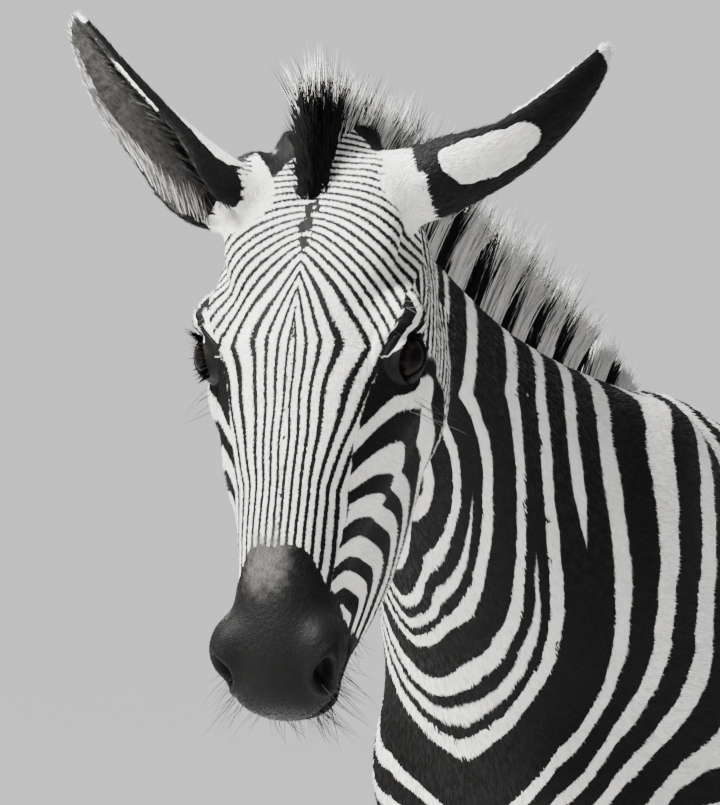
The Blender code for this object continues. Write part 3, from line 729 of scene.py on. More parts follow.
# ---------------------------------------------------------------- tufts
def make_mesh(name, points, faces):
    """A mesh object from points and triangles, both as arrays."""
    mesh = bpy.data.meshes.new(name)
    mesh.vertices.add(len(points))
    mesh.vertices.foreach_set("co", points.astype(np.float32).ravel())
    mesh.loops.add(faces.size)
    mesh.loops.foreach_set("vertex_index", faces.astype(np.int32).ravel())
    mesh.polygons.add(len(faces))
    mesh.polygons.foreach_set("loop_start", np.arange(0, faces.size, 3, dtype=np.int32))
    mesh.update(calc_edges=True)
    return linked(name, mesh)


def spikes(lines, across, widths, thick=0.45):
    """Closed three-sided spikes along lines of points: (count, rings + 1, 3), the last point being the tip.

    Returns the points, the triangles and the number of points that each spike has."""
    count, rings = lines.shape[0], lines.shape[1] - 1
    way = unit(lines[:, 1:] - lines[:, :-1])
    across = across[:, None, :] - way * np.sum(across[:, None, :] * way, -1, keepdims=True)
    across = unit(across)
    half = widths[:, :, None] / 2
    left = lines[:, :-1] - across * half
    right = lines[:, :-1] + across * half
    ridge = lines[:, :-1] + np.cross(way, across) * half * 2 * thick
    body = np.stack([left, right, ridge], 2).reshape(count, rings * 3, 3)
    points = np.concatenate([body, lines[:, -1:]], 1)
    faces = [(0, 2, 1)]
    for a in range(3 * (rings - 1)):
        b = a - 2 if a % 3 == 2 else a + 1
        faces += [(a, b, b + 3), (a, b + 3, a + 3)]
    tip, last = rings * 3, 3 * (rings - 1)
    faces += [(last + k, last + (k + 1) % 3, tip) for k in range(3)]
    each = tip + 1
    offsets = np.arange(count)[:, None, None] * each
    return points.reshape(-1, 3), (np.array(faces)[None] + offsets).reshape(-1, 3), each


# ---------------------------------------------------------------- markings
# Each black line of the forehead is an arch, numbered from the middle: how far out it stands at the level of
# the eyes, and how far above that level it crosses the middle. They end on the nose, NOSE_PERIOD apart.
EYE_LEVEL = 0.175  # from the poll
NOSE_LEVEL = 0.300
ARCH_NUMBER = (0.0, 0.5, 1.5, 2.5, 3.5, 4.5, 5.5, 7.5, 9.5, 11.5, 14.5, 18.5, 26.5)
ARCH_OUT = (0.0, 0.0030, 0.0125, 0.0235, 0.0365, 0.0610, 0.0750, 0.093, 0.111, 0.129, 0.156, 0.192, 0.264)
ARCH_UP = (0.003, 0.026, 0.048, 0.062, 0.072, 0.0805, 0.0875, 0.1005, 0.1135, 0.1265, 0.146, 0.172, 0.224)
NOSE_PERIOD = 0.0068
# Neck and trunk: places along the body and the number of the stripe that crosses them.
RING_PLACE = (-0.70, -0.398, -0.376, -0.327, -0.246, 0.04, 0.37, 0.62, 0.92, 1.72, 3.32)
RING_NUMBER = (-13.0, -1.0, 0.0, 1.0, 2.0, 7.0, 11.9, 14.9, 17.9, 25.6, 42.0)
SHORT_RING = 3.9  # it ends halfway down the neck
THIN_LINES = ((0.5, 1.225), (2.5, 1.170))  # between which rings, and from which height down
CHEEK_CENTRE = (0.392, -0.105)  # along the head and through it: the corner of the mouth
CHEEK_REACH = 0.216  # of the outermost broad band, towards the eye
CHEEK_REAR = 0.108  # half width of that band's loop, behind its middle
BAND_REACH = (0.0, 0.032, 0.060, 0.105, 0.144, 0.192, CHEEK_REACH)
BAND_NUMBER = (1.0, 2.0, 3.0, 4.0, 5.0, 6.0, 6.5)
JAW_PERIOD = 0.0115
# Along and round an ear: the middle of its white patch, and its half width round the ear.
EAR_PATCH = {"left": (0.38, 0.48, 0.34), "right": (0.35, 0.42, 0.26)}
# Along the head: depth of the jaw's lower edge, half width of the face's pattern, depth where it ends.
JAW_EDGE = ((0.0, 0.10, 0.14, 0.18, 0.24, 0.34, 0.42), (0.175, 0.182, 0.192, 0.22, 0.262, 0.225, 0.19))
FACE_EDGE = ((0.0, 0.05, 0.14, 0.175, 0.215, 0.27, 0.37), (0.080, 0.090, 0.088, 0.074, 0.062, 0.053, 0.047))
FACE_FLOOR = ((0.0, 0.14, 0.175, 0.23, 0.37), (-0.075, -0.055, -0.040, -0.045, -0.050))
NECK_FOOT = 0.9  # height over which a place far forward is on the neck or the head
HEAD_REAR = -0.30  # y of the rearmost place of the head and its ears
FAN_CENTRE = (0.47, 0.70)  # y and z on the flank, from where the stripes of the hindquarters fan out
FAN_FOOT = 0.62  # height below which they lie level
TAIL_PERIOD = 0.042
TAIL_FREE = (1.105, 1.135)  # the tail hangs free behind this y and below this height
BELLY_SPAN = (0.02, 0.72)  # y of the white belly's ends
BELLY_HEM = 0.745  # height up to which it is white
BELLY_LINE = 0.016  # half width of the dark line down its middle
HOOF_BAND = 0.082  # height up to which the legs are dark
# On the head: where the black of the muzzle begins, radius of the dark skin round an eye, half width of the
# streak under the forelock along the head, and where the grey patch on the nose begins and ends.
MUZZLE_BRINK = 0.355
EYE_BARE = 0.0245
STREAK = ((0.0, 0.05, 0.075, 0.11), (0.012, 0.005, 0.006, -0.004))
NOSE_PATCH = (0.305, 0.440)


def solved(function, top, count=22):
    """The stripe number at which a function that falls with it crosses zero, by halving."""
    low, high = np.zeros_like(top), top.copy()
    for _ in range(count):
        middle = (low + high) / 2
        above = function(middle) > 0
        low = np.where(above, middle, low)
        high = np.where(above, high, middle)
    return (low + high) / 2


def head_places(local):
    """How far out from the middle, along from the poll and deep points of the head's frame lie."""
    return np.abs(local[:, 0]), -local[:, 1], local[:, 2]


def face_number(local):
    """Number of the line of the face at points of the head's frame."""
    out, along, _ = head_places(local)
    up = np.maximum(EYE_LEVEL - along, 0)
    down = np.clip((along - EYE_LEVEL) / (NOSE_LEVEL - EYE_LEVEL), 0, 1.6)
    eased = np.clip(down, 0, 1) ** 0.85

    def left_over(number):
        wide = np.interp(number, ARCH_NUMBER, ARCH_OUT)
        tall = np.interp(number, ARCH_NUMBER, ARCH_UP)
        narrow = number * NOSE_PERIOD * (1 - 0.12 * np.clip(down - 1, 0, 1))
        sharp = np.interp(number, (0, 3.5, 8.0, 14.0), (1.0, 1.12, 1.5, 1.9))
        above = (out / np.maximum(wide, 1e-4)) ** sharp + (up / tall) ** sharp - 1
        below = out / np.maximum(wide + (narrow - wide) * eased, 1e-4) - 1
        return np.where(along < EYE_LEVEL, above, below)

    return solved(left_over, np.full(len(local), ARCH_NUMBER[-1])) + 0.40 * waver(local, 45)


def cheek_reach(local):
    """How far out a point of the cheek lies in the nested loops round the corner of the mouth."""
    aside = local[:, 2] - CHEEK_CENTRE[1]
    rise = CHEEK_CENTRE[0] + local[:, 1]
    rise = np.where(rise > 0.19, 0.19 + 0.5 * (rise - 0.19), rise)
    loop = (np.abs(aside / CHEEK_REAR) ** 5 + np.abs(rise / CHEEK_REACH) ** 5) ** (1 / 5) * CHEEK_REACH
    return np.where(aside > 0, np.maximum(rise + 0.045 * (aside / 0.07) ** 3, 0), loop)


def head_number(local):
    """Stripe number on the sides of the head: broad arches on the cheek, then fine lines behind the jaw."""
    reach = cheek_reach(local)
    fine = BAND_NUMBER[-1] + (CHEEK_CENTRE[1] - local[:, 2] - CHEEK_REAR) / JAW_PERIOD
    bands = np.interp(reach, BAND_REACH, BAND_NUMBER)
    behind = (local[:, 2] < CHEEK_CENTRE[1]) | (local[:, 1] > -0.180)
    return np.where((reach > CHEEK_REACH) & behind, fine, bands) + 0.5 * waver(local, 26)


def waver(points, pitch):
    """A slow wandering between about -0.3 and 0.3, that keeps lines from being drawn by a ruler."""
    x, y, z = (points * pitch).T
    waves = np.sin(1.9 * x + 0.7 * y + z) + np.sin(2.3 * y - 1.1 * x + 0.4) + np.sin(1.7 * z + 1.3 * y + 2.0)
    return 0.13 * waves


def throat(along):
    """Depth of the lower edge of the jaw under the top of the head, along it."""
    return np.interp(along, *JAW_EDGE)


def nape(deep):
    """Where the head's pattern starts, along the head."""
    return -0.045 + 0.115 * steps(-deep, 0.0, 0.16)


def by_head(points):
    """True for points of the head, the ears and the upper neck."""
    return (points[:, 1] < HEAD_REAR) & (points[:, 2] > NECK_FOOT)


def ring_number(points):
    """Stripe number on the neck, trunk and legs."""
    y, z = points[:, 1], points[:, 2]
    place = neck_place(points)
    back, rise = y - FAN_CENTRE[0], np.maximum(z, FAN_FOOT) - FAN_CENTRE[1]
    angle = np.arctan2(back, rise)
    fan = 0.12 + FAN_CENTRE[0] + 0.33 * np.maximum(angle, 0) + 1.55 * np.maximum(FAN_FOOT - z, 0)
    hind = steps(y, FAN_CENTRE[0] - 0.03, FAN_CENTRE[0] + 0.03)
    place = np.where(back > 0, fan, place) * hind + place * (1 - hind)
    place += 0.010 * np.sin(9.0 * z + 5.0 * y) + 0.006 * np.sin(23.0 * z - 11.0 * y + 2.0)
    return np.interp(place, RING_PLACE, RING_NUMBER)


def neck_place(points):
    """Place along the body of the ring through each point, from the head to the flank and the fore feet."""
    x, y, z = points.T
    depth = np.maximum(crest_height(y) - z, 0)
    tilt = 0.12 - 0.09 * steps(y, 0.0, 0.30)
    place = y + tilt * (1 - np.exp(-depth / 0.06)) + 0.12 - tilt
    # Rings lean forwards under the jaw, and lag on the far side of the throat.
    place -= (2.6 * np.maximum(-0.2 - y, 0) + 6.5 * np.maximum(-0.31 - y, 0)) * np.clip(1.30 - z, 0, 0.2)
    twist = np.clip(0.03 - x, 0, 0.045) * steps(1.28 - z, 0.0, 0.13) * (z > NECK_FOOT)
    place -= twist * steps(-0.29 - y, 0.0, 0.04)
    # They sag between the fore legs and turn level down each leg.
    middle = BEND * np.maximum(BEND_START - y, 0) ** 2
    sag = 0.075 * np.maximum(1 - np.abs(x - middle) / 0.09, 0) * steps(-y, 0.10, 0.2)
    low = np.maximum(1.07 - z - sag, 0)
    drop = np.where(low < 0.1, 7 * low**2, 0.07 + 1.4 * (low - 0.1)) + 0.35 * np.maximum(0.5 - z, 0)
    reach = 0.20 * steps(0.95 - z, 0.0, 0.25)
    return place + drop * (1 - steps(y, -0.15 + reach, 0.06 + reach))


def markings(points, back):
    """The coat's pattern at places on the skin: what each of the four attributes of the coat holds there.

    stripes: stripe number on the face, the cheeks and the rest. share: how much of a stripe is white in each.
    area: above 0.5 where the face's stripes rule, and where the cheeks' do. tone: black, white and grey laid
    over the stripes."""
    local = to_frame(points, back)
    near = by_head(points)
    stripes, area = np.zeros((2, len(points), 3))
    stripes[near, 0] = face_number(local[near])
    stripes[near, 1] = head_number(local[near])
    stripes[:, 2] = ring_number(points)
    share = white_shares(points, local, stripes[:, 2])
    out, along, deep = head_places(local)
    inside_face = np.minimum(np.interp(along, *FACE_EDGE) - out, deep - np.interp(along, *FACE_FLOOR))
    inside_head = np.minimum(along - nape(deep), deep + throat(along))
    area[:, 0] = edge(inside_face, 0.006) * near
    area[:, 1] = edge(inside_head, 0.006) * near
    thin_lines(points, ~near | (inside_head < -0.015), stripes, share, area)
    tone = face_tone(local) * near[:, None]
    for side in EARS:
        ear_tone(local, side, near, tone)
    trunk_tone(points, tone)
    on_tail = hangs_from_rump(points)
    stripes[on_tail, 2] = points[on_tail, 2] / TAIL_PERIOD
    return {"stripes": stripes, "share": share, "area": area, "tone": tone}


def white_shares(points, local, ring):
    """How much of a stripe is white on the face, the cheeks and the rest."""
    _, y, z = points.T
    along = -local[:, 1]
    face = 0.60 - 0.07 * steps(0.16 - along, 0.0, 0.04) - 0.06 * steps(along, 0.22, 0.30)
    cheek = np.where(cheek_reach(local) > 0.16, 0.42, 0.50)
    rest = np.interp(y, (-0.45, -0.25, 0.0, 0.3), (0.36, 0.36, 0.42, 0.47)) + 0.06 * steps(0.8 - z, 0, 0.2)
    high = z > NECK_FOOT
    on_throat = np.interp(ring, (-1.7, -1.3, 0.0, 3.0), (0.14, 0.20, 0.25, 0.35))
    rest = np.where((ring < 3.0) & high, on_throat, rest)
    ended = 1 - steps(z, 1.12, 1.22)
    rest = np.where((np.abs(ring - SHORT_RING) < 0.5) & high, rest * (1 - ended) - 0.2 * ended, rest)
    return np.stack([face, cheek, rest], 1)


def thin_lines(points, free, stripes, share, area):
    """Thin lines between the rings of the lower neck: they use the cheeks' stripes, inside a black stripe."""
    _, y, z = points.T
    free = free & (z > NECK_FOOT) & (y < -0.1)
    stripes[free, 1] = stripes[free, 2] - 0.5
    for middle, top in THIN_LINES:
        zone = free & (np.abs(stripes[:, 2] - middle) < 0.32)
        area[zone, 1] = 1
        share[zone, 1] = (0.22 * steps(top - z, 0.0, 0.12) - 0.08 * (1 - steps(top - z, 0.0, 0.03)))[zone]


def face_tone(local):
    """Tone of the face: black muzzle, eyelids and streak under the forelock, and a grey patch on the nose."""
    out, along, deep = head_places(local)
    brink = MUZZLE_BRINK + 0.030 * steps(out, 0.022, 0.046) + 0.012 * steps(-deep, 0.05, 0.12)
    muzzle = edge(along - brink, 0.016)
    off = np.stack([out, local[:, 1], deep], 1) - np.array(EYE_PLACE)
    off[:, 1] = np.where(off[:, 1] < 0, np.minimum(off[:, 1] + 0.010, 0), off[:, 1] * 0.8)
    bare = EYE_BARE - 0.0010 * steps(off[:, 2], 0.0, 0.016)
    eye = edge(bare - np.linalg.norm(off, axis=1), 0.003)
    half = np.interp(along, *STREAK) + 0.022 * waver(local, 330)
    streak = edge(half - out, 0.003) * (along > -0.02) * (deep > -0.05)
    aside = np.abs(local[:, 0] + 0.008)
    begin, end = NOSE_PATCH
    grey = 0.8 * steps(along, begin, 0.380) * steps(end - along, 0.0, 0.09)
    grey *= steps(0.040 - aside, 0.0, 0.034)
    return np.stack([np.maximum(np.maximum(muzzle, eye), streak), np.zeros(len(local)), grey], 1)


def ear_tone(local, side, near, tone):
    """Writes an ear into tone: grey cup, black back with a white patch, and pale root, rim and tip."""
    far, off_axis = ear_share(local, side)
    turn, depth = ear_turn(local, side)
    on_ear = near & (far > -0.12) & (far < 1.08) & (off_axis < EAR_AROUND)
    ragged = far + 0.10 * waver(local, 75)
    root = edge(0.15 - ragged, 0.02) * steps(0.044 - off_axis, 0.0, 0.010) * steps(far, -0.09, -0.02)
    tone[:, 1] = np.maximum(tone[:, 1], root * near * 0.72)
    patch_far, patch_turn, patch_half = EAR_PATCH[side]
    patch = 1 - ((far - patch_far) / 0.20) ** 2 - ((turn - patch_turn) / patch_half) ** 2
    patch += 0.6 * waver(local, 150)
    rim = steps(np.abs(turn), 0.90, 0.96) * steps(far, 0.45, 0.6)
    pale = np.maximum(np.maximum(edge(patch, 0.08), rim), steps(far, 0.945, 0.965))
    shaded = np.maximum(steps(ragged, 0.13, 0.17), steps(far, 0.02, 0.06) * steps(off_axis, 0.034, 0.042))
    behind = on_ear & (ragged > 0.13)
    tone[behind, 1] = pale[behind]
    tone[on_ear, 0] = (shaded * (1 - pale))[on_ear]
    tone[on_ear & (depth < 0) & (far > 0.17)] = (1, 0, 0.50)


def trunk_tone(points, tone):
    """Writes into tone a white belly with a dark line down its middle, and a dark band over each hoof."""
    x, y, z = points.T
    hem = BELLY_HEM + 0.045 * np.exp(-(((y - 0.13) / 0.07) ** 2))
    under = steps(hem - z, 0.0, 0.10) * steps(0.15 - np.abs(x), 0.0, 0.05)
    under *= (y > BELLY_SPAN[0]) & (y < BELLY_SPAN[1]) & (z > 0.5)
    line = edge(BELLY_LINE - np.abs(x), 0.004) * (under > 0.4)
    tone[:, 0] = np.maximum(np.maximum(tone[:, 0], line), steps(HOOF_BAND - z, 0.0, 0.012))
    tone[:, 1] = np.maximum(tone[:, 1], under)


def hangs_from_rump(points):
    """True on the free part of the tail."""
    x, y, z = points.T
    line = sorted((height, stretched(place), radius) for (place, height), radius in TAIL[2:])
    heights, places, radii = zip(*line)
    off = np.hypot(x, y - np.interp(z, heights, places))
    rump, top = TAIL_FREE
    return (off < np.interp(z, heights, radii) * 1.22) & (z < top) & (y > stretched(rump))


def ear_turn(local, side):
    """Where points are round an ear: -1 and 1 at the edges of its cup, and the distance out from its wall."""
    base, way, opening, across, curl = ear_axes(side)
    far = (local - base) @ way / EAR_LENGTH
    middle = base + way * (EAR_LENGTH * far[:, None]) + opening * (curl * (far**2 - far))[:, None]
    off = local - middle
    off -= way * (off @ way)[:, None]
    radius, half = ear_section(far)
    turn = np.arctan2(off @ across, -(off @ opening)) / half
    return turn, np.linalg.norm(off, axis=1) - radius


def paint(mesh, points, back, shade):
    """Writes the pattern at points and its shade into a mesh's attributes, one point for each vertex."""
    write_values(mesh, {**markings(points, back), "shade": np.broadcast_to(shade, len(points))})


def write_values(mesh, values):
    """Writes arrays into a mesh's attributes of the same names: a number or three for each vertex."""
    for name, data in values.items():
        kind, field = ("FLOAT_VECTOR", "vector") if data.ndim == 2 else ("FLOAT", "value")
        attribute = mesh.attributes.new(name, kind, "POINT")
        attribute.data.foreach_set(field, data.astype(np.float32).ravel())


# ---------------------------------------------------------------- materials
class Nodes:
    """A material's node tree, with short calls for the nodes that are used here."""

    def __init__(self, name):
        self.material = bpy.data.materials.new(name)
        self.material.use_nodes = True
        self.tree = self.material.node_tree
        self.shader = self.tree.nodes["Principled BSDF"]

    def add(self, kind, inputs, **settings):
        node = self.tree.nodes.new(kind)
        for name, value in settings.items():
            setattr(node, name, value)
        for name, value in inputs.items():
            self.plug(value, node.inputs[name])
        return node

    def plug(self, value, socket):
        if isinstance(value, bpy.types.NodeSocket):
            self.tree.links.new(value, socket)
        else:
            socket.default_value = value

    def surface(self, **values):
        """Sets or links the shader's own sockets."""
        for name, value in values.items():
            self.plug(value, self.shader.inputs[name.replace("_", " ")])

    def math(self, operation, *values):
        return self.add("ShaderNodeMath", dict(enumerate(values)), operation=operation).outputs[0]

    def blend(self, share, a, b):
        return self.add("ShaderNodeMix", {"Factor": share, "A": a, "B": b}).outputs[0]

    def mix(self, share, a, b, how="MIX"):
        inputs = {"Factor": share, "A": a, "B": b}
        return self.add("ShaderNodeMix", inputs, data_type="RGBA", blend_type=how).outputs[2]

    def noise(self, scale, detail=2.0, vector=None):
        inputs = {"Scale": scale, "Detail": detail, "Vector": vector or self.place()}
        return self.add("ShaderNodeTexNoise", inputs).outputs["Fac"]

    def place(self, stretch=None):
        place = self.add("ShaderNodeTexCoord", {}).outputs["Object"]
        if stretch is None:
            return place
        return self.add("ShaderNodeVectorMath", {0: place, 1: stretch}, operation="MULTIPLY").outputs[0]

    def parts(self, name):
        vector = self.add("ShaderNodeAttribute", {}, attribute_name=name).outputs["Vector"]
        return list(self.add("ShaderNodeSeparateXYZ", {"Vector": vector}).outputs)

    def value(self, name):
        return self.add("ShaderNodeAttribute", {}, attribute_name=name).outputs["Fac"]

    def ramp(self, value, low, high, start=0.0, end=1.0):
        inputs = {"Value": value, "From Min": low, "From Max": high, "To Min": start, "To Max": end}
        return self.add("ShaderNodeMapRange", inputs, interpolation_type="SMOOTHSTEP").outputs[0]

    def bump(self, height, strength, distance):
        inputs = {"Height": height, "Strength": strength, "Distance": distance}
        self.surface(Normal=self.add("ShaderNodeBump", inputs).outputs[0])


WHITE = (0.80, 0.785, 0.755, 1)
BLACK = (0.0055, 0.0052, 0.0050, 1)
GREY = (0.080, 0.076, 0.072, 1)


def stripe(nodes, number, share, wobble, size, edge):
    """1 on a white stripe: a whole number is its middle, and share is its part of the period."""
    shifted = nodes.math("ADD", number, nodes.math("MULTIPLY", nodes.math("SUBTRACT", wobble, 0.5), size))
    off = nodes.math("ABSOLUTE", nodes.math("SUBTRACT", shifted, nodes.math("ROUND", shifted)))
    half = nodes.math("MULTIPLY", share, 0.5)
    return nodes.ramp(nodes.math("SUBTRACT", half, off), -edge, edge)


def coat_material():
    """Striped hair: the pattern comes from the attributes of skin and tufts alike, its grain from noise."""
    nodes = Nodes("coat")
    number, share, area, tone = (nodes.parts(name) for name in ("stripes", "share", "area", "tone"))
    fine, coarse = nodes.noise(420), nodes.noise(38, 3.0)
    face = stripe(nodes, number[0], share[0], fine, 0.30, 0.07)
    cheek = stripe(nodes, number[1], share[1], coarse, 0.16, 0.03)
    ring = stripe(nodes, number[2], share[2], coarse, 0.16, 0.022)
    jitter = nodes.math("MULTIPLY", nodes.math("SUBTRACT", nodes.noise(160), 0.5), 0.5)

    def over(value, low=0.44, high=0.56):
        return nodes.ramp(nodes.math("ADD", value, jitter), low, high)

    white = nodes.blend(over(area[0]), nodes.blend(over(area[1]), ring, cheek), face)
    white = nodes.math("MAXIMUM", white, over(tone[1]))
    white = nodes.math("MULTIPLY", white, nodes.math("SUBTRACT", 1.0, over(tone[0])))
    hair = nodes.mix(over(tone[2], 0.2, 0.8), nodes.mix(white, BLACK, WHITE), GREY)
    dirt = nodes.ramp(nodes.noise(14, 5.0), 0.30, 0.75, 0.88, 1.0)
    shade = nodes.math("MULTIPLY", nodes.value("shade"), dirt)
    lit = nodes.add("ShaderNodeCombineXYZ", dict.fromkeys("XYZ", shade)).outputs[0]
    nodes.surface(
        Base_Color=nodes.mix(1.0, hair, lit, "MULTIPLY"),
        Roughness=nodes.ramp(white, 0, 1, 0.52, 0.66),
        Specular_IOR_Level=0.07,
    )
    grain = nodes.math("ADD", nodes.noise(900), nodes.math("MULTIPLY", nodes.noise(260, 3.0), 1.5))
    nodes.bump(grain, 0.5, 0.0010)
    return nodes.material


# ---------------------------------------------------------------- where the coat grows, and how it lies
REGIONS = (
    "barrel", "neck", "hindquarters", "face", "cheek_left", "cheek_right", "ear_left", "ear_right", "tail",
    "leg_fore_left", "leg_fore_right", "leg_hind_left", "leg_hind_right",
)
INDEX = {name: index for index, name in enumerate(REGIONS)}
ON_HEAD = [INDEX[name] for name in ("face", "cheek_left", "cheek_right")]
NECK_REAR, BARREL_REAR = -0.02, 0.52  # y where the neck's tufts end, and the barrel's
MIDDLE = 0.3  # y between the fore legs and the hind legs
LEG_TOPS = (0.70, 0.74)  # heights where the fore legs and the hind legs begin
# Tufts in a square metre, and their length, width and lift at the tip.
COAT = {
    "barrel": (46000, 0.0130, 0.0022, 0.0018),
    "neck": (86000, 0.0080, 0.0016, 0.0013),
    "hindquarters": (46000, 0.0130, 0.0022, 0.0018),
    "face": (330000, 0.0052, 0.0010, 0.0009),
    "cheek": (190000, 0.0075, 0.0012, 0.0012),
    "ear": (150000, 0.0080, 0.0011, 0.0016),
    "tail": (70000, 0.0160, 0.0020, 0.0020),
    "leg": (80000, 0.0090, 0.0015, 0.0012),
}
TUFT_SUNK = 0.0004  # depth of each root in the skin
TUFT_PAINTED = (0.25, 0.25, 0.25, 0.70)  # share of its length where each corner takes its colour, tip last
TUFT_LEANING = (-0.85, 0.85, 0.0, 0.0)  # how far each corner's normal leans across
PIECE_TUFTS = 48000  # at most in one piece
EYE_CLEAR = 0.0235  # no tufts within this of an eye's axis


def region_of(points, back):
    """Index into REGIONS of the places on the skin."""
    local = to_frame(points, back)
    x, y, z = points.T
    out, along, deep = head_places(local)
    region = np.where(y < BARREL_REAR, INDEX["barrel"], INDEX["hindquarters"])
    region[y < NECK_REAR] = INDEX["neck"]
    region[hangs_from_rump(points)] = INDEX["tail"]
    low = (z < np.where(y < MIDDLE, *LEG_TOPS)) & (np.abs(x) > 0.045)
    region = np.where(low, INDEX["leg_fore_left"] + 2 * (y > MIDDLE) + (x < 0), region)
    near = by_head(points)
    on_head = near & (along > nape(deep)) & (deep > -throat(along))
    region = np.where(on_head, np.where(local[:, 0] > 0, INDEX["cheek_left"], INDEX["cheek_right"]), region)
    region[on_head & (deep > -0.055) & (out < 0.092)] = INDEX["face"]
    for side in EARS:
        far, off = ear_share(local, side)
        region[near & (far > 0.06) & (far < 1.08) & (off < EAR_AROUND)] = INDEX["ear_" + side]
    return region


def lie_on_trunk(y, z):
    """Back along the body, down over the rump and down the legs."""
    low = steps(0.98 - z, 0.0, 0.25)[:, None]
    front = steps(-0.12 - y, 0.0, 0.12)
    trunk = np.stack([0 * y, 1 - 0.45 * front, -0.35 - 0.35 * front], 1)
    rear = steps(y, 0.6, 0.95)[:, None] * np.array((0, -0.35, -0.6))
    return (trunk + rear) * (1 - low) + low * np.array((0, 0.12, -1.0))


def lie_on_head(local):
    """Up from the eyes and down from them to the nose, and back over the jaw."""
    along = -local[:, 1]
    none = np.zeros(len(local))
    face = np.stack([0.30 * local[:, 0] / 0.06, np.clip((EYE_LEVEL - along) / 0.02, -1, 1), none], 1)
    forward = steps(along, 0.16, 0.28)
    cheek = np.stack([none, 0.30 - 1.2 * (1 - forward), -0.45 - 0.55 * forward], 1)
    blend = np.maximum(steps(local[:, 2], -0.075, -0.035), steps(along, 0.33, 0.38))[:, None]
    return face * blend + cheek * (1 - blend)


def lie_of_coat(points, normals, region, head):
    """The way the hair points, square to the normals."""
    x, y, z = points.T
    way = lie_on_trunk(y, z)
    way[(normals[:, 2] < -0.6) & (z > 0.5)] = (0, 1, 0)
    on_head = np.isin(region, ON_HEAD)
    way[on_head] = turned(lie_on_head(to_frame(points, head.inverted())), head)[on_head]
    for side in EARS:
        way[region == INDEX["ear_" + side]] = turned(ear_axes(side)[1][None], head)
    way[region == INDEX["tail"]] = (0, 0, -1)
    swirl = np.stack([np.sin(31 * y + 17 * z), np.sin(29 * z + 23 * x), np.sin(27 * x + 19 * y)], 1)
    way = unit(way) + 0.10 * swirl
    way -= normals * np.sum(way * normals, 1, keepdims=True)
    return unit(way)


def scattered(skin, rng, head):
    """Roots of tufts on the skin, spread by COAT's densities: places, normals and regions."""
    mesh = skin.data
    mesh.calc_loop_triangles()
    corners = read(mesh.loop_triangles, "vertices", 3)
    points, normals = read_points(mesh), read_vectors(mesh.vertices, "normal")
    a, b, c = (points[corners[:, k]] for k in range(3))
    areas = np.linalg.norm(np.cross(b - a, c - a), axis=1) / 2
    region = region_of((a + b + c) / 3, head.inverted())
    thick = np.array([COAT[kind_of(name)][0] for name in REGIONS])
    totals = np.cumsum(areas * thick[region])
    count = int(totals[-1])
    chosen = np.searchsorted(totals, (np.arange(count) + rng.random(count)) / count * totals[-1])
    chosen = np.minimum(chosen, len(corners) - 1)
    u, v = rng.random((2, count))
    fold = u + v > 1
    u[fold], v[fold] = 1 - u[fold], 1 - v[fold]
    share = np.stack([1 - u - v, u, v], 1)[:, :, None]
    roots = np.sum(points[corners[chosen]] * share, 1)
    tops = unit(np.sum(normals[corners[chosen]] * share, 1))
    return roots, tops, region[chosen]


def kind_of(region):
    """The row of COAT for a region's name."""
    return region.split("_")[0]


def set_normals(mesh, normals):
    mesh.polygons.foreach_set("use_smooth", np.ones(len(mesh.polygons), bool))
    mesh.normals_split_custom_set_from_vertices(normals.astype(np.float32))


# ---------------------------------------------------------------- the unwrap of the skin
class Unwrap:
    """Lays a surface out on a square as charts, one for each region and main direction of the normal."""

    def __init__(self, points, normals, region, scales):
        self.scales = scales
        charts = self.chart(normals, region)
        self.low, sizes = {}, {}
        for chart in np.unique(charts):
            flat = self.flat(points[charts == chart], chart)
            self.low[chart] = flat.min(0)
            sizes[chart] = np.ptp(flat, axis=0)
        self.places, self.side = shelved(sizes)

    @staticmethod
    def chart(normals, region):
        axis = np.abs(normals).argmax(1)
        ahead = np.take_along_axis(normals, axis[:, None], 1)[:, 0] > 0
        return region * 6 + axis * 2 + ahead

    def flat(self, points, chart):
        kept = [k for k in range(3) if k != chart % 6 // 2]
        return points[:, kept] * self.scales[chart // 6]

    def place(self, points, normals, region):
        charts = self.chart(normals, region)
        result = np.zeros((len(points), 2))
        for chart in np.unique(charts):
            rows = charts == chart
            if chart in self.low:
                result[rows] = self.flat(points[rows], chart) - self.low[chart] + self.places[chart]
        return np.clip(0.004 + 0.99 * result / self.side, 0.002, 0.998)


def shelved(sizes, gap=0.012):
    """Places rectangles on shelves in about the smallest square. Returns their places and its side."""
    order = sorted(sizes, key=lambda chart: -sizes[chart][1])
    best = None
    for width in np.geomspace(0.1, 8, 60):
        places, x, y, high, wide = {}, 0.0, 0.0, 0.0, 0.0
        for chart in order:
            w, h = sizes[chart]
            if x > 0 and x + w > width:
                x, y, high = 0.0, y + high + gap, 0.0
            places[chart] = np.array((x, y))
            wide, high = max(wide, x + w), max(high, h)
            x += w + gap
        side = max(wide, y + high)
        if best is None or side < best[1]:
            best = places, side
    return best


def add_uv(mesh, uv_of_loops):
    layer = mesh.uv_layers.new(name="OFBake")
    layer.data.foreach_set("uv", uv_of_loops.astype(np.float32).ravel())


def unwrap_skin(skin, back):
    """Gives the skin its own charts, with the head and the ears drawn larger."""
    mesh = skin.data
    centres, normals = (read_vectors(mesh.polygons, name) for name in ("center", "normal"))
    scales = [CHART_SCALES.get(kind_of(name), 1.0) for name in REGIONS]
    region = region_of(centres, back)
    unwrap = Unwrap(centres, normals, region, scales)
    points = read_points(mesh)[read(mesh.loops, "vertex_index")]
    face = np.repeat(np.arange(len(centres)), read(mesh.polygons, "loop_total"))
    add_uv(mesh, unwrap.place(points, normals[face], region[face]))


CHART_SCALES = {"face": 3.0, "cheek": 2.2, "ear": 1.5}
PATCH = 0.003  # side of each tuft's patch of the unwrap


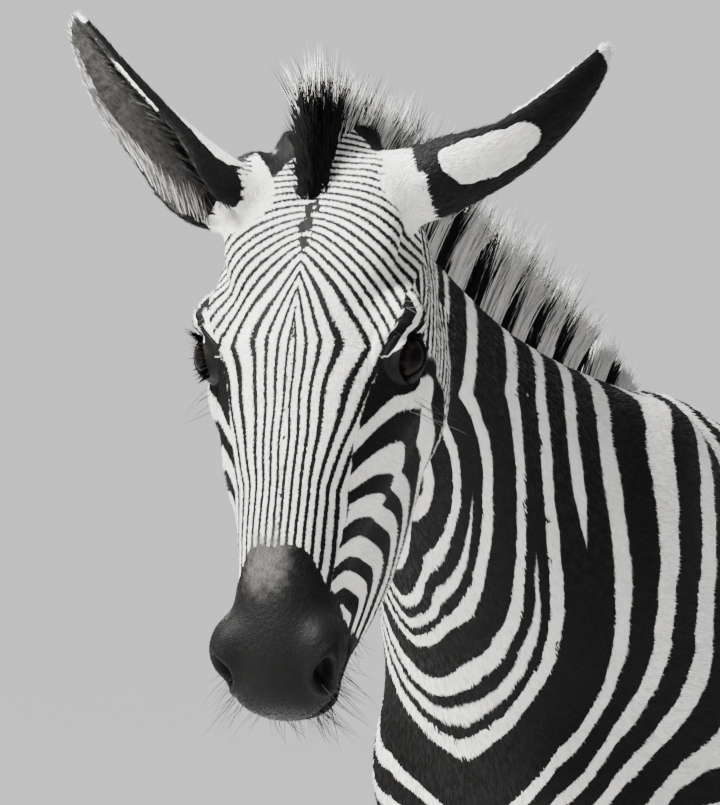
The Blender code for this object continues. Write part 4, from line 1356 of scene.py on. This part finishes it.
def patch_uvs(centres, triangles, each):
    """UVs of the loops of spikes: a small patch round each one's centre, root to tip across it."""
    spike, corner = np.divmod(triangles.ravel(), each)
    turn = np.array((0.0, 1.0, 0.5))[corner % 3]
    rise = (corner // 3) / max(1, (each - 1) // 3)
    return centres[spike] + PATCH * (np.stack([turn, rise], 1) - 0.5)


def tufts(name, roots, tops, region, head, rng):
    """One coat piece: closed spikes lying along the skin, each painted as the skin at its middle."""
    back, count = head.inverted(), len(roots)
    along = -to_frame(roots, back)[:, 1]
    velvet = np.where(np.isin(region, ON_HEAD), 1 - 0.55 * steps(along, 0.33, 0.40), 1.0)
    feet = 1 - 0.35 * steps(0.20 - roots[:, 2], 0.0, 0.1)
    length, width, lift = np.array([COAT[kind_of(row)][1:] for row in REGIONS])[region].T
    length = length * velvet * feet * rng.uniform(0.75, 1.2, count)
    width = width * velvet**0.5 * rng.uniform(0.8, 1.2, count)
    lift = lift * velvet * rng.uniform(0.5, 1.4, count)
    way = lie_of_coat(roots, tops, region, head)
    way = unit(way + np.cross(tops, way) * rng.normal(0, 0.13, count)[:, None])
    across = unit(np.cross(tops, way))
    tip = roots + way * length[:, None] + tops * lift[:, None]
    points, triangles, each = spikes(np.stack([roots - tops * TUFT_SUNK, tip], 1), across, width[:, None])
    obj = make_mesh(name, points, triangles)
    painted = length[:, None] * np.array(TUFT_PAINTED)
    places = roots[:, None] + way[:, None] * painted[:, :, None]
    shade = np.repeat(rng.uniform(0.72, 1.12, count), each)
    paint(obj.data, places.reshape(-1, 3), back, shade)
    unwrap = Unwrap(roots, tops, region, [1.0] * len(REGIONS))
    add_uv(obj.data, patch_uvs(unwrap.place(roots, tops, region), triangles, each))
    leaning = across[:, None] * np.array(TUFT_LEANING)[:, None]
    set_normals(obj.data, unit(tops[:, None] + leaning).reshape(-1, 3))
    return obj


# ---------------------------------------------------------------- long hair
HAIR_TAPER = (1.0, 1.15, 1.0, 0.75, 0.5)
LOCK_HAIRS = 26
MANE_RINGS = 4
FORELOCK_END, POLL_END = (1.7, 2.3), (3.4, 4.0)  # stations over which the dark and the mixed hair end
# Name, hairs, and the stretch of the mane's stations that each covers.
MANES = (("front", 2600, 0.0, 2.6), ("middle", 4600, 2.6, 6.0), ("rear", 5000, 6.0, 13.0))
# Hairs of the face: count, centre, spread, way, bend and length. They grow on both sides.
WHISKERS = (
    (70, (0.030, -0.455, -0.085), (0.014, 0.022, 0.022), (0.75, -0.45, -0.35), (0.1, 0.0, -0.35), 0.042),
    (90, (0.000, -0.452, -0.128), (0.030, 0.020, 0.014), (0.0, -0.30, -0.95), (0.0, 0.15, -0.1), 0.050),
    (150, (0.000, -0.420, -0.150), (0.028, 0.035, 0.012), (0.0, -0.10, -1.0), (0.0, 0.20, -0.1), 0.036),
    (14, (0.086, -0.200, -0.070), (0.006, 0.014, 0.006), (0.8, -0.3, -0.3), (0.0, 0.0, -0.2), 0.045),
    (10, (0.082, -0.140, -0.010), (0.008, 0.016, 0.006), (0.7, -0.2, 0.7), (0.0, 0.0, -0.2), 0.038),
)
WHISKER_WIDTH = 0.0006
SWITCH_TOPS = (0.795, 0.900)  # heights between which the tail's long hairs start
SWITCH_ENDS = (0.52, 0.05)  # mean height where they end, and its spread


def curved(roots, ways, bends, lengths, rings):
    """Lines of points that start along ways and bend with the square of the distance."""
    share = np.linspace(0, 1, rings + 1)[None, :, None]
    return roots[:, None] + (ways[:, None] * share + bends[:, None] * share**2) * lengths[:, None, None]


def hair_piece(name, lines, across, width, values, facing):
    """A piece of long hairs. Values hold the pattern for every point of a line, tip included; the hairs are
    shaded as parts of a surface that looks the way of facing."""
    rings = lines.shape[1] - 1
    taper = np.interp(np.linspace(0, 1, rings), np.linspace(0, 1, len(HAIR_TAPER)), HAIR_TAPER)
    points, triangles, each = spikes(lines, across, width[:, None] * taper, 0.5)
    obj = make_mesh(name, points, triangles)
    level = np.minimum(np.arange(each) // 3, rings)
    spread = {key: data[:, level].reshape(-1, *data.shape[2:]) for key, data in values.items()}
    write_values(obj.data, spread)
    roots = lines[:, 0]
    low, extent = roots.min(0), np.ptp(roots, axis=0)
    kept = np.argsort(extent)[1:]
    centres = 0.01 + 0.98 * (roots[:, kept] - low[kept]) / extent.max()
    add_uv(obj.data, patch_uvs(centres, triangles, each))
    way = unit(lines[:, -1] - roots)
    out = unit(across - way * np.sum(across * way, 1, keepdims=True))
    up = unit(facing)
    normals = np.stack([up - out * 0.5, up + out * 0.5, up], 1)[:, np.arange(each) % 3]
    set_normals(obj.data, unit(normals).reshape(-1, 3))
    return obj


def plain_values(count, rings, black, white, grey, shade):
    """Values of the coat's attributes for hairs of one tone: arrays of (count, rings + 1) or numbers."""
    shape = (count, rings + 1)
    tone = np.stack([np.broadcast_to(np.asarray(v, float), shape) for v in (black, white, grey)], 2)
    values = dict.fromkeys(("stripes", "share", "area"), np.zeros((*shape, 3)))
    return {**values, "tone": tone, "shade": np.broadcast_to(shade, shape)}


def between(table, at):
    """Values of a table at fractional rows."""
    before = np.minimum(at.astype(int), len(table) - 2)
    share = at - before
    return (table[before].T * (1 - share) + table[before + 1].T * share).T


def mane_piece(name, stations, count, first, last, rng):
    """A stretch of the upright mane, in locks whose hairs lean together."""
    feet, lifts, heights, halves = (np.array(column) for column in zip(*stations))
    locks = count // LOCK_HAIRS
    lock_at = np.sort(rng.uniform(first, last, locks))
    lock = rng.integers(0, locks, count)
    at = np.clip(lock_at[lock] + rng.normal(0, 0.035, count), first, last - 0.001)
    lift, half = unit(between(lifts, at)), between(halves, at)
    forward = unit(between(feet[1:] - feet[:-1], np.floor(at)))
    side = unit(np.cross(forward, lift))
    off = np.clip(rng.normal(0, 0.5, locks)[lock] + rng.normal(0, 0.42, count), -1, 1)
    root = between(feet, at) + side * (off * half * 0.85)[:, None] - lift * 0.004
    lock_lean = rng.normal(0, 0.08, (locks, 3))[lock] + forward * rng.normal(0, 0.06, locks)[lock][:, None]
    lean = side * (off * 0.10)[:, None] + lock_lean + rng.normal(0, 0.035, (count, 3))
    tall = between(heights, at) * (1 - 0.10 * np.abs(off)) * (0.99 + 0.07 * np.sin(lock * 2.4))
    tall = tall * rng.uniform(0.86, 1.08, count) * (0.80 + 0.20 * steps(at, 1.2, 2.4))
    values = mane_values(at, ring_number(root), rng)
    facing = side * np.sign(off)[:, None] * 0.9 + lift * 0.45 - forward * 0.35
    lines = curved(root, lift, lean, tall, MANE_RINGS)
    return hair_piece(name, lines, side, rng.uniform(0.0010, 0.0019, count), values, facing)


def mane_values(at, ring, rng):
    """The mane's pattern: a dark forelock, mixed hair on the poll, and the neck's stripes with dark tips."""
    count = len(at)
    level = np.linspace(0, 1, MANE_RINGS + 1)[None]
    stripes, share = np.zeros((2, count, MANE_RINGS + 1, 3))
    stripes[:, :, 2] = (ring + 0.05 * rng.normal(0, 1, count))[:, None]
    share[:, :, 2] = 0.50 + 0.22 * level
    behind = steps(at, *FORELOCK_END)
    mixed = behind * (1 - steps(at, *POLL_END))
    chance = rng.random(count)
    plume = mixed * (chance < 0.45)
    tips = steps(level, 0.85, 1.0) * np.where(rng.random(count) < 0.25, 0.9, 0.0)[:, None]
    dark = np.maximum(1 - behind, mixed * (chance > 0.6))[:, None]
    black = np.maximum(dark + 0 * level, tips * (1 - plume)[:, None])
    pale = plume[:, None] * steps(level, 0.0, 0.3)
    values = plain_values(count, MANE_RINGS, black, pale, 0.0, rng.uniform(0.65, 1.10, count)[:, None])
    return {**values, "stripes": stripes, "share": share}


def tail_hair(rng, count=1700, rings=5):
    """The dark switch that hangs from the end of the tail."""
    heights, radii, leans = np.array(TUFT).T
    turn = rng.uniform(0, math.tau, count)
    top = rng.uniform(*SWITCH_TOPS, count)
    end = np.clip(rng.normal(*SWITCH_ENDS, count), 0.462, 0.66)
    spread = np.sqrt(rng.uniform(0.05, 1.0, count))[:, None]
    share = np.linspace(0, 1, rings + 1)[None]
    z = top[:, None] + (end - top)[:, None] * share
    radius = np.where(z > 0.84, 0.0150, np.interp(-z, -heights, radii) * 0.95)
    radius = radius * spread ** np.minimum(1, 3 * share)
    middle = stretched(TAIL[-1][0][0]) + np.interp(-z, -heights, leans)
    curl = 0.003 * np.sin(9 * share * spread + turn[:, None] * 3)
    right, ahead = np.cos(turn), np.sin(turn)
    x = (radius * 0.85 + curl) * right[:, None]
    lines = np.stack([x, middle + (radius + curl) * ahead[:, None], z], 2)
    pale = (rng.random(count) < 0.12)[:, None] * (1 - steps(share, 0.2, 0.6))
    values = plain_values(count, rings, 1 - pale, pale, 0.0, rng.uniform(0.7, 1.6, count)[:, None])
    across, facing = np.stack([-ahead, right, 0 * turn], 1), np.stack([right, ahead, 0 * turn], 1)
    return hair_piece("tail_switch", lines, across, rng.uniform(0.0012, 0.0024, count), values, facing)


def ear_hair(side, head, rng, count=2600):
    """Long hair inside an ear: from the edges of the cup across its opening, and up its floor. Most of it is
    painted dark grey as the shade inside the cup, darker on the cup's floor than on its lit rims, and a few
    rim hairs stay pale.
    """
    base, way, opening, across, curl = ear_axes(side)
    far = rng.beta(1.3, 1.5, count) * 0.86 + 0.06
    radius, half = ear_section(far)
    rim = rng.random(count) < 0.5
    at_rim = np.sign(rng.random(count) - 0.5) * half * rng.uniform(0.78, 0.99, count)
    angle = np.where(rim, at_rim, half * rng.uniform(-0.75, 0.75, count))
    middle = base + way * (EAR_LENGTH * far)[:, None] + opening * (curl * (far**2 - far))[:, None]
    spoke = -opening * np.cos(angle)[:, None] + across * np.sin(angle)[:, None]
    root = middle + spoke * (radius - EAR_WALL * 0.35)[:, None]
    ways = unit(way * 0.95 - spoke * np.where(rim, 0.55, 0.22)[:, None] + rng.normal(0, 0.10, (count, 3)))
    lengths = np.where(rim, 0.026, 0.018) * rng.uniform(0.6, 1.2, count) * np.clip(1.15 - far, 0.3, 1)
    lines = curved(root, ways, way * 0.25 - spoke * 0.10, lengths, 3)
    rows = to_frame(lines.reshape(-1, 3), head).reshape(lines.shape)
    # Painted shade and light: the grey of this hair stands in for the shade inside the cup, the floor's hair
    # painted darker than the rim's.
    pale = rim & (rng.random(count) < 0.25)
    shade = np.where(pale, 0.8, np.where(rim, 1.5, 0.6) * rng.uniform(0.6, 1.2, count))[:, None]
    values = plain_values(count, 3, 0.0, 0.9 * pale[:, None], 1.0 - pale[:, None], shade)
    sides, facing = turned(np.cross(ways, spoke), head), turned(-spoke, head)
    return hair_piece("ear_hair_" + side, rows, sides, rng.uniform(0.0007, 0.0012, count), values, facing)


def face_hairs(head, skin_tree, rng):
    """Whiskers on lips and chin, a thin beard, and the long hairs round the eyes."""
    parts = []
    for count, centre, spread, way, bow, length in WHISKERS:
        for side in (1, -1):
            shape, mirror = (count // 2, 3), np.array((side, 1, 1))
            place = (np.array(centre) + np.array(spread) * rng.uniform(-1, 1, shape)) * mirror
            outwards = unit(place - np.array((0, centre[1] + 0.05, centre[2] + 0.05)))
            ways = unit(outwards * 0.5 + np.array(way) * mirror + rng.normal(0, 0.15, shape))
            bends = np.array(bow) * mirror + rng.normal(0, 0.12, shape)
            parts.append((place, ways, bends, length * rng.uniform(0.5, 1.15, count // 2)))
    roots, ways, bends, lengths = (np.concatenate(column) for column in zip(*parts))
    spots = (skin_tree.find_nearest(Vector(place)) for place in to_frame(roots, head))
    settled = np.array([spot - normal * 0.001 for spot, normal, _, _ in spots])
    ways = turned(ways, head)
    lines = curved(settled, ways, turned(bends, head), lengths, 4)
    sides = unit(np.cross(ways, rng.normal(0, 1, ways.shape)))
    values = plain_values(len(roots), 4, 0.0, 0.0, 1.0, rng.uniform(0.4, 1.6, len(roots))[:, None])
    facing = np.cross(lines[:, -1] - lines[:, 0], sides)
    return hair_piece("whiskers", lines, sides, np.full(len(roots), WHISKER_WIDTH), values, facing)


# ---------------------------------------------------------------- eyes and lids
LID_WIDE, LID_UP, LID_DOWN = math.radians(56), math.radians(34), math.radians(30)  # half openings
CORNEA = 0.0009  # how far it bulges from the eyeball
LID_REACH = 0.0250  # from the eye's axis to where a lid meets the skin
LASHES = 150  # on each side
IRIS = (0.0040, 0.0028, 0.0022, 1), (0.010, 0.0065, 0.0045, 1)
IRIS_RIM = (0.010, 0.007, 0.006, 1)
PUPIL = (0.002, 0.002, 0.0025, 1)


def eye_axes():
    """Directions across an eye in the head's frame: forwards along the lids, and up."""
    ahead = Vector((0, -1, 0))
    ahead = (ahead - EYE_AXIS * ahead.dot(EYE_AXIS)).normalized()
    up = EYE_AXIS.cross(ahead)
    return ahead, up if up.z > 0 else -up


def eyeball(side, head):
    """A ball with a slight bulge of the cornea. Its attribute gaze tells where iris and pupil lie."""
    rings, turns = 40, 64
    ahead, up = eye_axes()
    mirror = Vector((side_of(side), 1, 1))
    bm = bmesh.new()
    gaze = bm.verts.layers.float_vector.new("gaze")

    def vertex(tilt, u, v, radius):
        place = EYE_PLACE + radius * (EYE_AXIS * math.cos(tilt) + ahead * u + up * v)
        vert = bm.verts.new(head @ (place * mirror))
        vert[gaze] = (u, v, math.cos(tilt))
        return vert

    rows = []
    for i in range(1, rings):
        tilt = math.pi * (i / rings) ** 1.3
        radius = EYE_RADIUS + CORNEA * math.exp(-((tilt / 0.62) ** 4))
        spokes = ((math.cos(a), math.sin(a)) for a in (math.tau * j / turns for j in range(turns)))
        rows.append([vertex(tilt, math.sin(tilt) * u, math.sin(tilt) * v, radius) for u, v in spokes])
    front, rear = vertex(0.0, 0, 0, EYE_RADIUS + CORNEA), vertex(math.pi, 0, 0, EYE_RADIUS)
    for row, pole in ((rows[0], front), (rows[-1], rear)):
        for j in range(turns):
            bm.faces.new((pole, row[j], row[(j + 1) % turns]))
    bridge(bm, rows)
    bmesh.ops.recalc_face_normals(bm, faces=bm.faces)
    obj = finished("eyeball_" + side, bm)
    obj.data.shade_smooth()
    return obj


def lid_opening(angle):
    """Tilts from the eye's axis, forwards and up, of the almond edge of the lids."""
    u = math.cos(angle) * LID_WIDE
    v = math.sin(angle) * (LID_UP if math.sin(angle) > 0 else LID_DOWN)
    return u, v * (1 - 0.25 * math.cos(angle) ** 4)


def lid_section(angle, mirror, head, tree):
    """Points of the lids at one angle round the eye: from under the edge on the eyeball, over the rolled rim,
    out and under the skin."""
    ahead, up = eye_axes()
    u, v = lid_opening(angle)
    tilt = math.hypot(u, v)
    way = (ahead * u + up * v) / tilt
    upper = max(0.0, math.sin(angle))
    spot = EYE_PLACE + way * (LID_REACH + 0.0010 * upper)
    above, down = spot + EYE_AXIS * 0.05, -EYE_AXIS * 0.05
    hit = tree.ray_cast(head @ (above * mirror), head.to_3x3() @ (down * mirror).normalized())[0]
    hit = head.inverted() @ hit * mirror if hit else spot
    edge = EYE_PLACE + (EYE_AXIS * math.cos(tilt) + way * math.sin(tilt)) * EYE_RADIUS
    outward = (edge - EYE_PLACE).normalized()
    along = (way * math.cos(tilt) - EYE_AXIS * math.sin(tilt)).normalized()
    rim = 0.0022 + 0.0010 * upper
    return (
        edge - outward * 0.0012 + along * 0.0006,
        edge + outward * 0.0004,
        edge + outward * (rim * 0.75) + along * 0.0002,
        edge + outward * rim + along * 0.0014,
        edge + outward * rim * 0.95 + along * 0.0034,
        edge.lerp(hit, 0.62) + outward * (0.0012 - 0.0010 * upper),
        edge.lerp(hit, 0.80) + outward * (0.0014 + 0.0008 * upper),
        hit - EYE_AXIS * 0.0004,
        hit + way * 0.003 - EYE_AXIS * 0.0040,
    )


def lids(side, head, tree, turns=96):
    """Both lids as one ring, painted as the skin round them."""
    mirror = Vector((side_of(side), 1, 1))
    bm = bmesh.new()
    sections = [lid_section(math.tau * j / turns, mirror, head, tree) for j in range(turns)]
    columns = [[bm.verts.new(head @ (point * mirror)) for point in section] for section in sections]
    bridge(bm, list(zip(*columns)))
    bmesh.ops.recalc_face_normals(bm, faces=bm.faces)
    obj = modified(finished("lids_" + side, bm), "SUBSURF", levels=1, render_levels=1)
    obj.data.shade_smooth()
    paint(obj.data, read_points(obj.data), head.inverted(), 0.9)
    return obj


def lashes(head, rng):
    """Upper lashes, long and dark, and a few short lower ones."""
    ahead, up = eye_axes()
    parts = []
    for side in np.repeat((1, -1), LASHES):
        mirror = np.array((side, 1, 1))
        upper = rng.random() < 0.88
        u, v = lid_opening(rng.uniform(0.15, math.pi - 0.15) * (1 if upper else -1))
        tilt = math.hypot(u, v)
        way = (ahead * u + up * v) / tilt
        out = EYE_AXIS * math.cos(tilt) + way * math.sin(tilt)
        root = np.array(EYE_PLACE + out * (EYE_RADIUS + rng.uniform(0.0004, 0.0022))) * mirror
        forward = np.array(EYE_AXIS * 0.9 + up * (-0.35 if upper else 0.1) + way * 0.45) * mirror
        forward = forward + rng.normal(0, 0.14, 3)
        bow = np.array(up * (0.35 if upper else -0.3)) * mirror
        parts.append((root, forward, bow, rng.uniform(0.010, 0.019) if upper else rng.uniform(0.003, 0.006)))
    roots, ways, bends, lengths = (np.array(column) for column in zip(*parts))
    lines = curved(to_frame(roots, head), turned(ways, head), turned(bends, head), lengths, 3)
    sides = turned(np.cross(ways, np.array(up)[None]), head)
    values = plain_values(len(roots), 3, 1.0, 0.0, 0.0, rng.uniform(0.5, 1.3, len(roots))[:, None])
    facing = np.cross(lines[:, -1] - lines[:, 0], sides)
    return hair_piece("lashes", lines, sides, np.full(len(roots), WHISKER_WIDTH), values, facing)


def eye_material():
    """Dark horse-like eye: a wide brown iris, a pupil lying across it and a thin dark rim, under a gloss."""
    nodes = Nodes("eye")
    across, up, _ = nodes.parts("gaze")

    def oval_of(wide, high):
        shares = nodes.math("DIVIDE", across, wide), nodes.math("DIVIDE", up, high)
        return nodes.math("ADD", *(nodes.math("POWER", share, 2.0) for share in shares))

    fibres = nodes.noise(900, 3.0)
    iris = nodes.mix(fibres, *IRIS)
    colour = nodes.mix(nodes.ramp(oval_of(0.46, 0.25), 0.85, 1.15), PUPIL, iris)
    radius = nodes.math("SQRT", oval_of(1.0, 1.0))
    nodes.surface(
        Base_Color=nodes.mix(nodes.ramp(radius, 0.66, 0.76), colour, IRIS_RIM),
        Roughness=nodes.ramp(fibres, 0, 1, 0.04, 0.08),
        Specular_IOR_Level=0.06,
        IOR=1.38,
    )
    nodes.bump(nodes.noise(500, 1.0), 0.02, 0.0002)
    return nodes.material


# ---------------------------------------------------------------- hooves
HORN = (0.022, 0.020, 0.018, 1), (0.075, 0.066, 0.057, 1)  # dark and pale rings
DUST = (0.19, 0.165, 0.135, 1)


def hoof(name):
    """A hoof's horn with its growth rings, a thin lip at the coronet and a worn rim at the ground."""
    point, normal = coronet(name)
    point = point - normal * (GAP / 2)
    _, _, _, half_width, half_depth = leg_rows(name)[-1]
    shares, *columns = np.array(HOOF).T
    levels, turns = 40, 72
    rings = []
    for i in range(levels + 1):
        share = i / levels
        ahead, wider, longer = (np.interp(share, shares, column) for column in columns)
        ripple = 0.0005 * math.sin(share * 46) * math.sin(math.pi * share)
        worn = -0.0035 * max(0.0, (share - 0.94) / 0.06) ** 2
        out = 1 + (ripple + worn) / half_depth
        ring = []
        for j in range(turns):
            angle = math.tau * j / turns
            heel = 1 - 0.10 * max(0.0, math.sin(angle)) ** 6 * math.cos(angle * 0.5 - math.pi / 4) ** 8
            x = point.x + half_width * wider * out * math.cos(angle)
            y = point.y - ahead + half_depth * longer * out * heel * math.sin(angle)
            top = point.z - (y - point.y) * normal.y / normal.z
            ring.append((x, y, top * (1 - share)))
        rings.append(ring)
    obj = loft("horn_" + name, rings)
    obj.data.shade_smooth()
    obj.data.set_sharp_from_angle(angle=math.radians(50))
    return obj


def horn_material():
    """Dark grey horn: growth rings across, fine grain down, dust near the ground."""
    nodes = Nodes("horn")
    height = nodes.add("ShaderNodeSeparateXYZ", {"Vector": nodes.place()}).outputs[2]
    rings = nodes.noise(1.0, 3.0, nodes.place((12, 12, 330)))
    grain = nodes.noise(1.0, 4.0, nodes.place((700, 700, 40)))
    horn = nodes.mix(rings, *HORN)
    dusty = nodes.math("MULTIPLY", nodes.ramp(height, 0.035, 0.0), nodes.noise(60, 4.0))
    nodes.surface(
        Base_Color=nodes.mix(dusty, horn, DUST),
        Roughness=nodes.ramp(grain, 0.3, 0.7, 0.42, 0.62),
        Specular_IOR_Level=0.4,
    )
    nodes.bump(nodes.math("ADD", rings, nodes.math("MULTIPLY", grain, 0.5)), 0.5, 0.0012)
    return nodes.material


# ---------------------------------------------------------------- studio
SKY = (0.86, 0.865, 0.87, 1)
FLOOR_LOW, FLOOR_HIGH = (0.9215, 0.9215, 0.91665, 1), (0.95, 0.95, 0.945, 1)
FLOOR_GLOW = 0.060  # just enough for it to meet the sky without an edge
# Lamps: name, place, what they face, size and power.
LAMPS = (
    ("key", (-0.7, -2.5, 3.5), (0.05, -0.6, 1.3), 0.9, 560),
    ("rim", (-2.2, 1.6, 3.2), (0.0, -0.2, 1.2), 1.5, 260),
)
LENS = 231.4
CAMERA_PLACE, CAMERA_TARGET = Vector((2.552, -4.370, 1.294)), Vector((0.1006, -0.595, 1.294))


def floor_material():
    nodes = Nodes("floor")
    nodes.surface(
        Base_Color=nodes.mix(nodes.noise(6, 4.0), FLOOR_LOW, FLOOR_HIGH),
        Roughness=0.95,
        Specular_IOR_Level=0.0,
        Emission_Color=(1, 1, 1, 1),
        Emission_Strength=FLOOR_GLOW,
    )
    return nodes.material


def aimed(obj, place, target):
    """Puts a light or a camera at a place and turns it to face another."""
    obj.location = place
    obj.rotation_euler = (Vector(target) - Vector(place)).to_track_quat("-Z", "Y").to_euler()


def area_light(name, place, target, size, power):
    light = bpy.data.lights.new(name, "AREA")
    light.shape = "DISK"
    light.size = size
    light.energy = power
    aimed(linked(name, light), place, target)


def studio(shift):
    """A pale floor under soft light from the upper left, and a long lens level with the animal's face."""
    bm = bmesh.new()
    bmesh.ops.create_circle(bm, cap_ends=True, segments=96, radius=150)
    floor = finished("studio_floor", bm)
    floor.data.materials.append(floor_material())
    world = bpy.data.worlds.new("studio")
    world.use_nodes = True
    world.node_tree.nodes["Background"].inputs["Color"].default_value = SKY
    bpy.context.scene.world = world
    for lamp in LAMPS:
        area_light(*lamp)
    lens = bpy.data.cameras.new("camera")
    lens.lens = LENS
    camera = linked("camera", lens)
    aimed(camera, CAMERA_PLACE + shift, CAMERA_TARGET + shift)
    bpy.context.scene.camera = camera


# ---------------------------------------------------------------- the whole
FLESH = ("head", "neck", "shoulders", "barrel", "hindquarters", "leg_", "ear_")
SEED = 11


def place_piece(obj, shift, material, slot, *nodes):
    """Gives a piece its material and sets it on the one body in place of CAD nodes. The slot is not used."""
    obj.data.materials.append(material)
    obj.data.transform(Matrix.Translation(shift))
    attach(obj, "root")
    if nodes:
        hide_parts(*nodes)


def coat_pieces(skin, head, rng):
    """The short coat, a piece or more for each region."""
    roots, tops, region = scattered(skin, rng, head)
    clear = away_from_eyes(roots, head.inverted())
    roots, tops, region = roots[clear], tops[clear], region[clear]
    for index, name in enumerate(REGIONS):
        rows = np.flatnonzero(region == index)
        for part, some in enumerate(np.array_split(rows, 1 + len(rows) // PIECE_TUFTS)):
            yield tufts(f"coat_{name}_{part}", roots[some], tops[some], region[some], head, rng)


def dress():
    head = head_frame()
    low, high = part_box("eye_left")
    shift = (low + high) / 2 - head @ EYE_PLACE
    rng = np.random.default_rng(SEED)
    coat, eye, horn = coat_material(), eye_material(), horn_material()
    skin = fused_skin(head)
    tree = BVHTree.FromPolygons([v.co for v in skin.data.vertices], [p.vertices for p in skin.data.polygons])
    skin.data.shade_smooth()
    paint(skin.data, read_points(skin.data), head.inverted(), 0.92)
    unwrap_skin(skin, head.inverted())
    pieces = [(skin, coat, "coat", *(n for n in frame["nodes"] if n == "tail" or n.startswith(FLESH)))]
    pieces += [(piece, coat, "coat") for piece in coat_pieces(skin, head, rng)]
    stations = mane_stations(head)
    for name, *stretch in MANES:
        piece = mane_piece(f"mane_{name}_hair", stations, *stretch, rng)
        pieces.append((piece, coat, "hair", "mane_" + name))
    pieces.append((tail_hair(rng), coat, "hair", "tail_tuft"))
    pieces.append((face_hairs(head, tree, rng), coat, "hair"))
    pieces.append((lashes(head, rng), coat, "hair"))
    for side in EARS:
        pieces.append((ear_hair(side, head, rng), coat, "hair"))
        pieces.append((eyeball(side, head), eye, "eye", "eye_" + side))
        pieces.append((lids(side, head, tree), coat, "coat"))
    pieces += [(hoof(name), horn, "horn", "hoof_" + name) for name in STANCE]
    for piece, *how in pieces:
        place_piece(piece, shift, *how)
    studio(shift)


def away_from_eyes(roots, back):
    """False for roots on the eyes and under the lids."""
    local = to_frame(roots, back)
    local[:, 0] = np.abs(local[:, 0])
    off = local - np.array(EYE_PLACE)
    close = np.linalg.norm(off, axis=1) < 0.040
    off -= np.array(EYE_AXIS) * (off @ np.array(EYE_AXIS))[:, None]
    return ~(close & (np.linalg.norm(off, axis=1) < EYE_CLEAR))


dress()
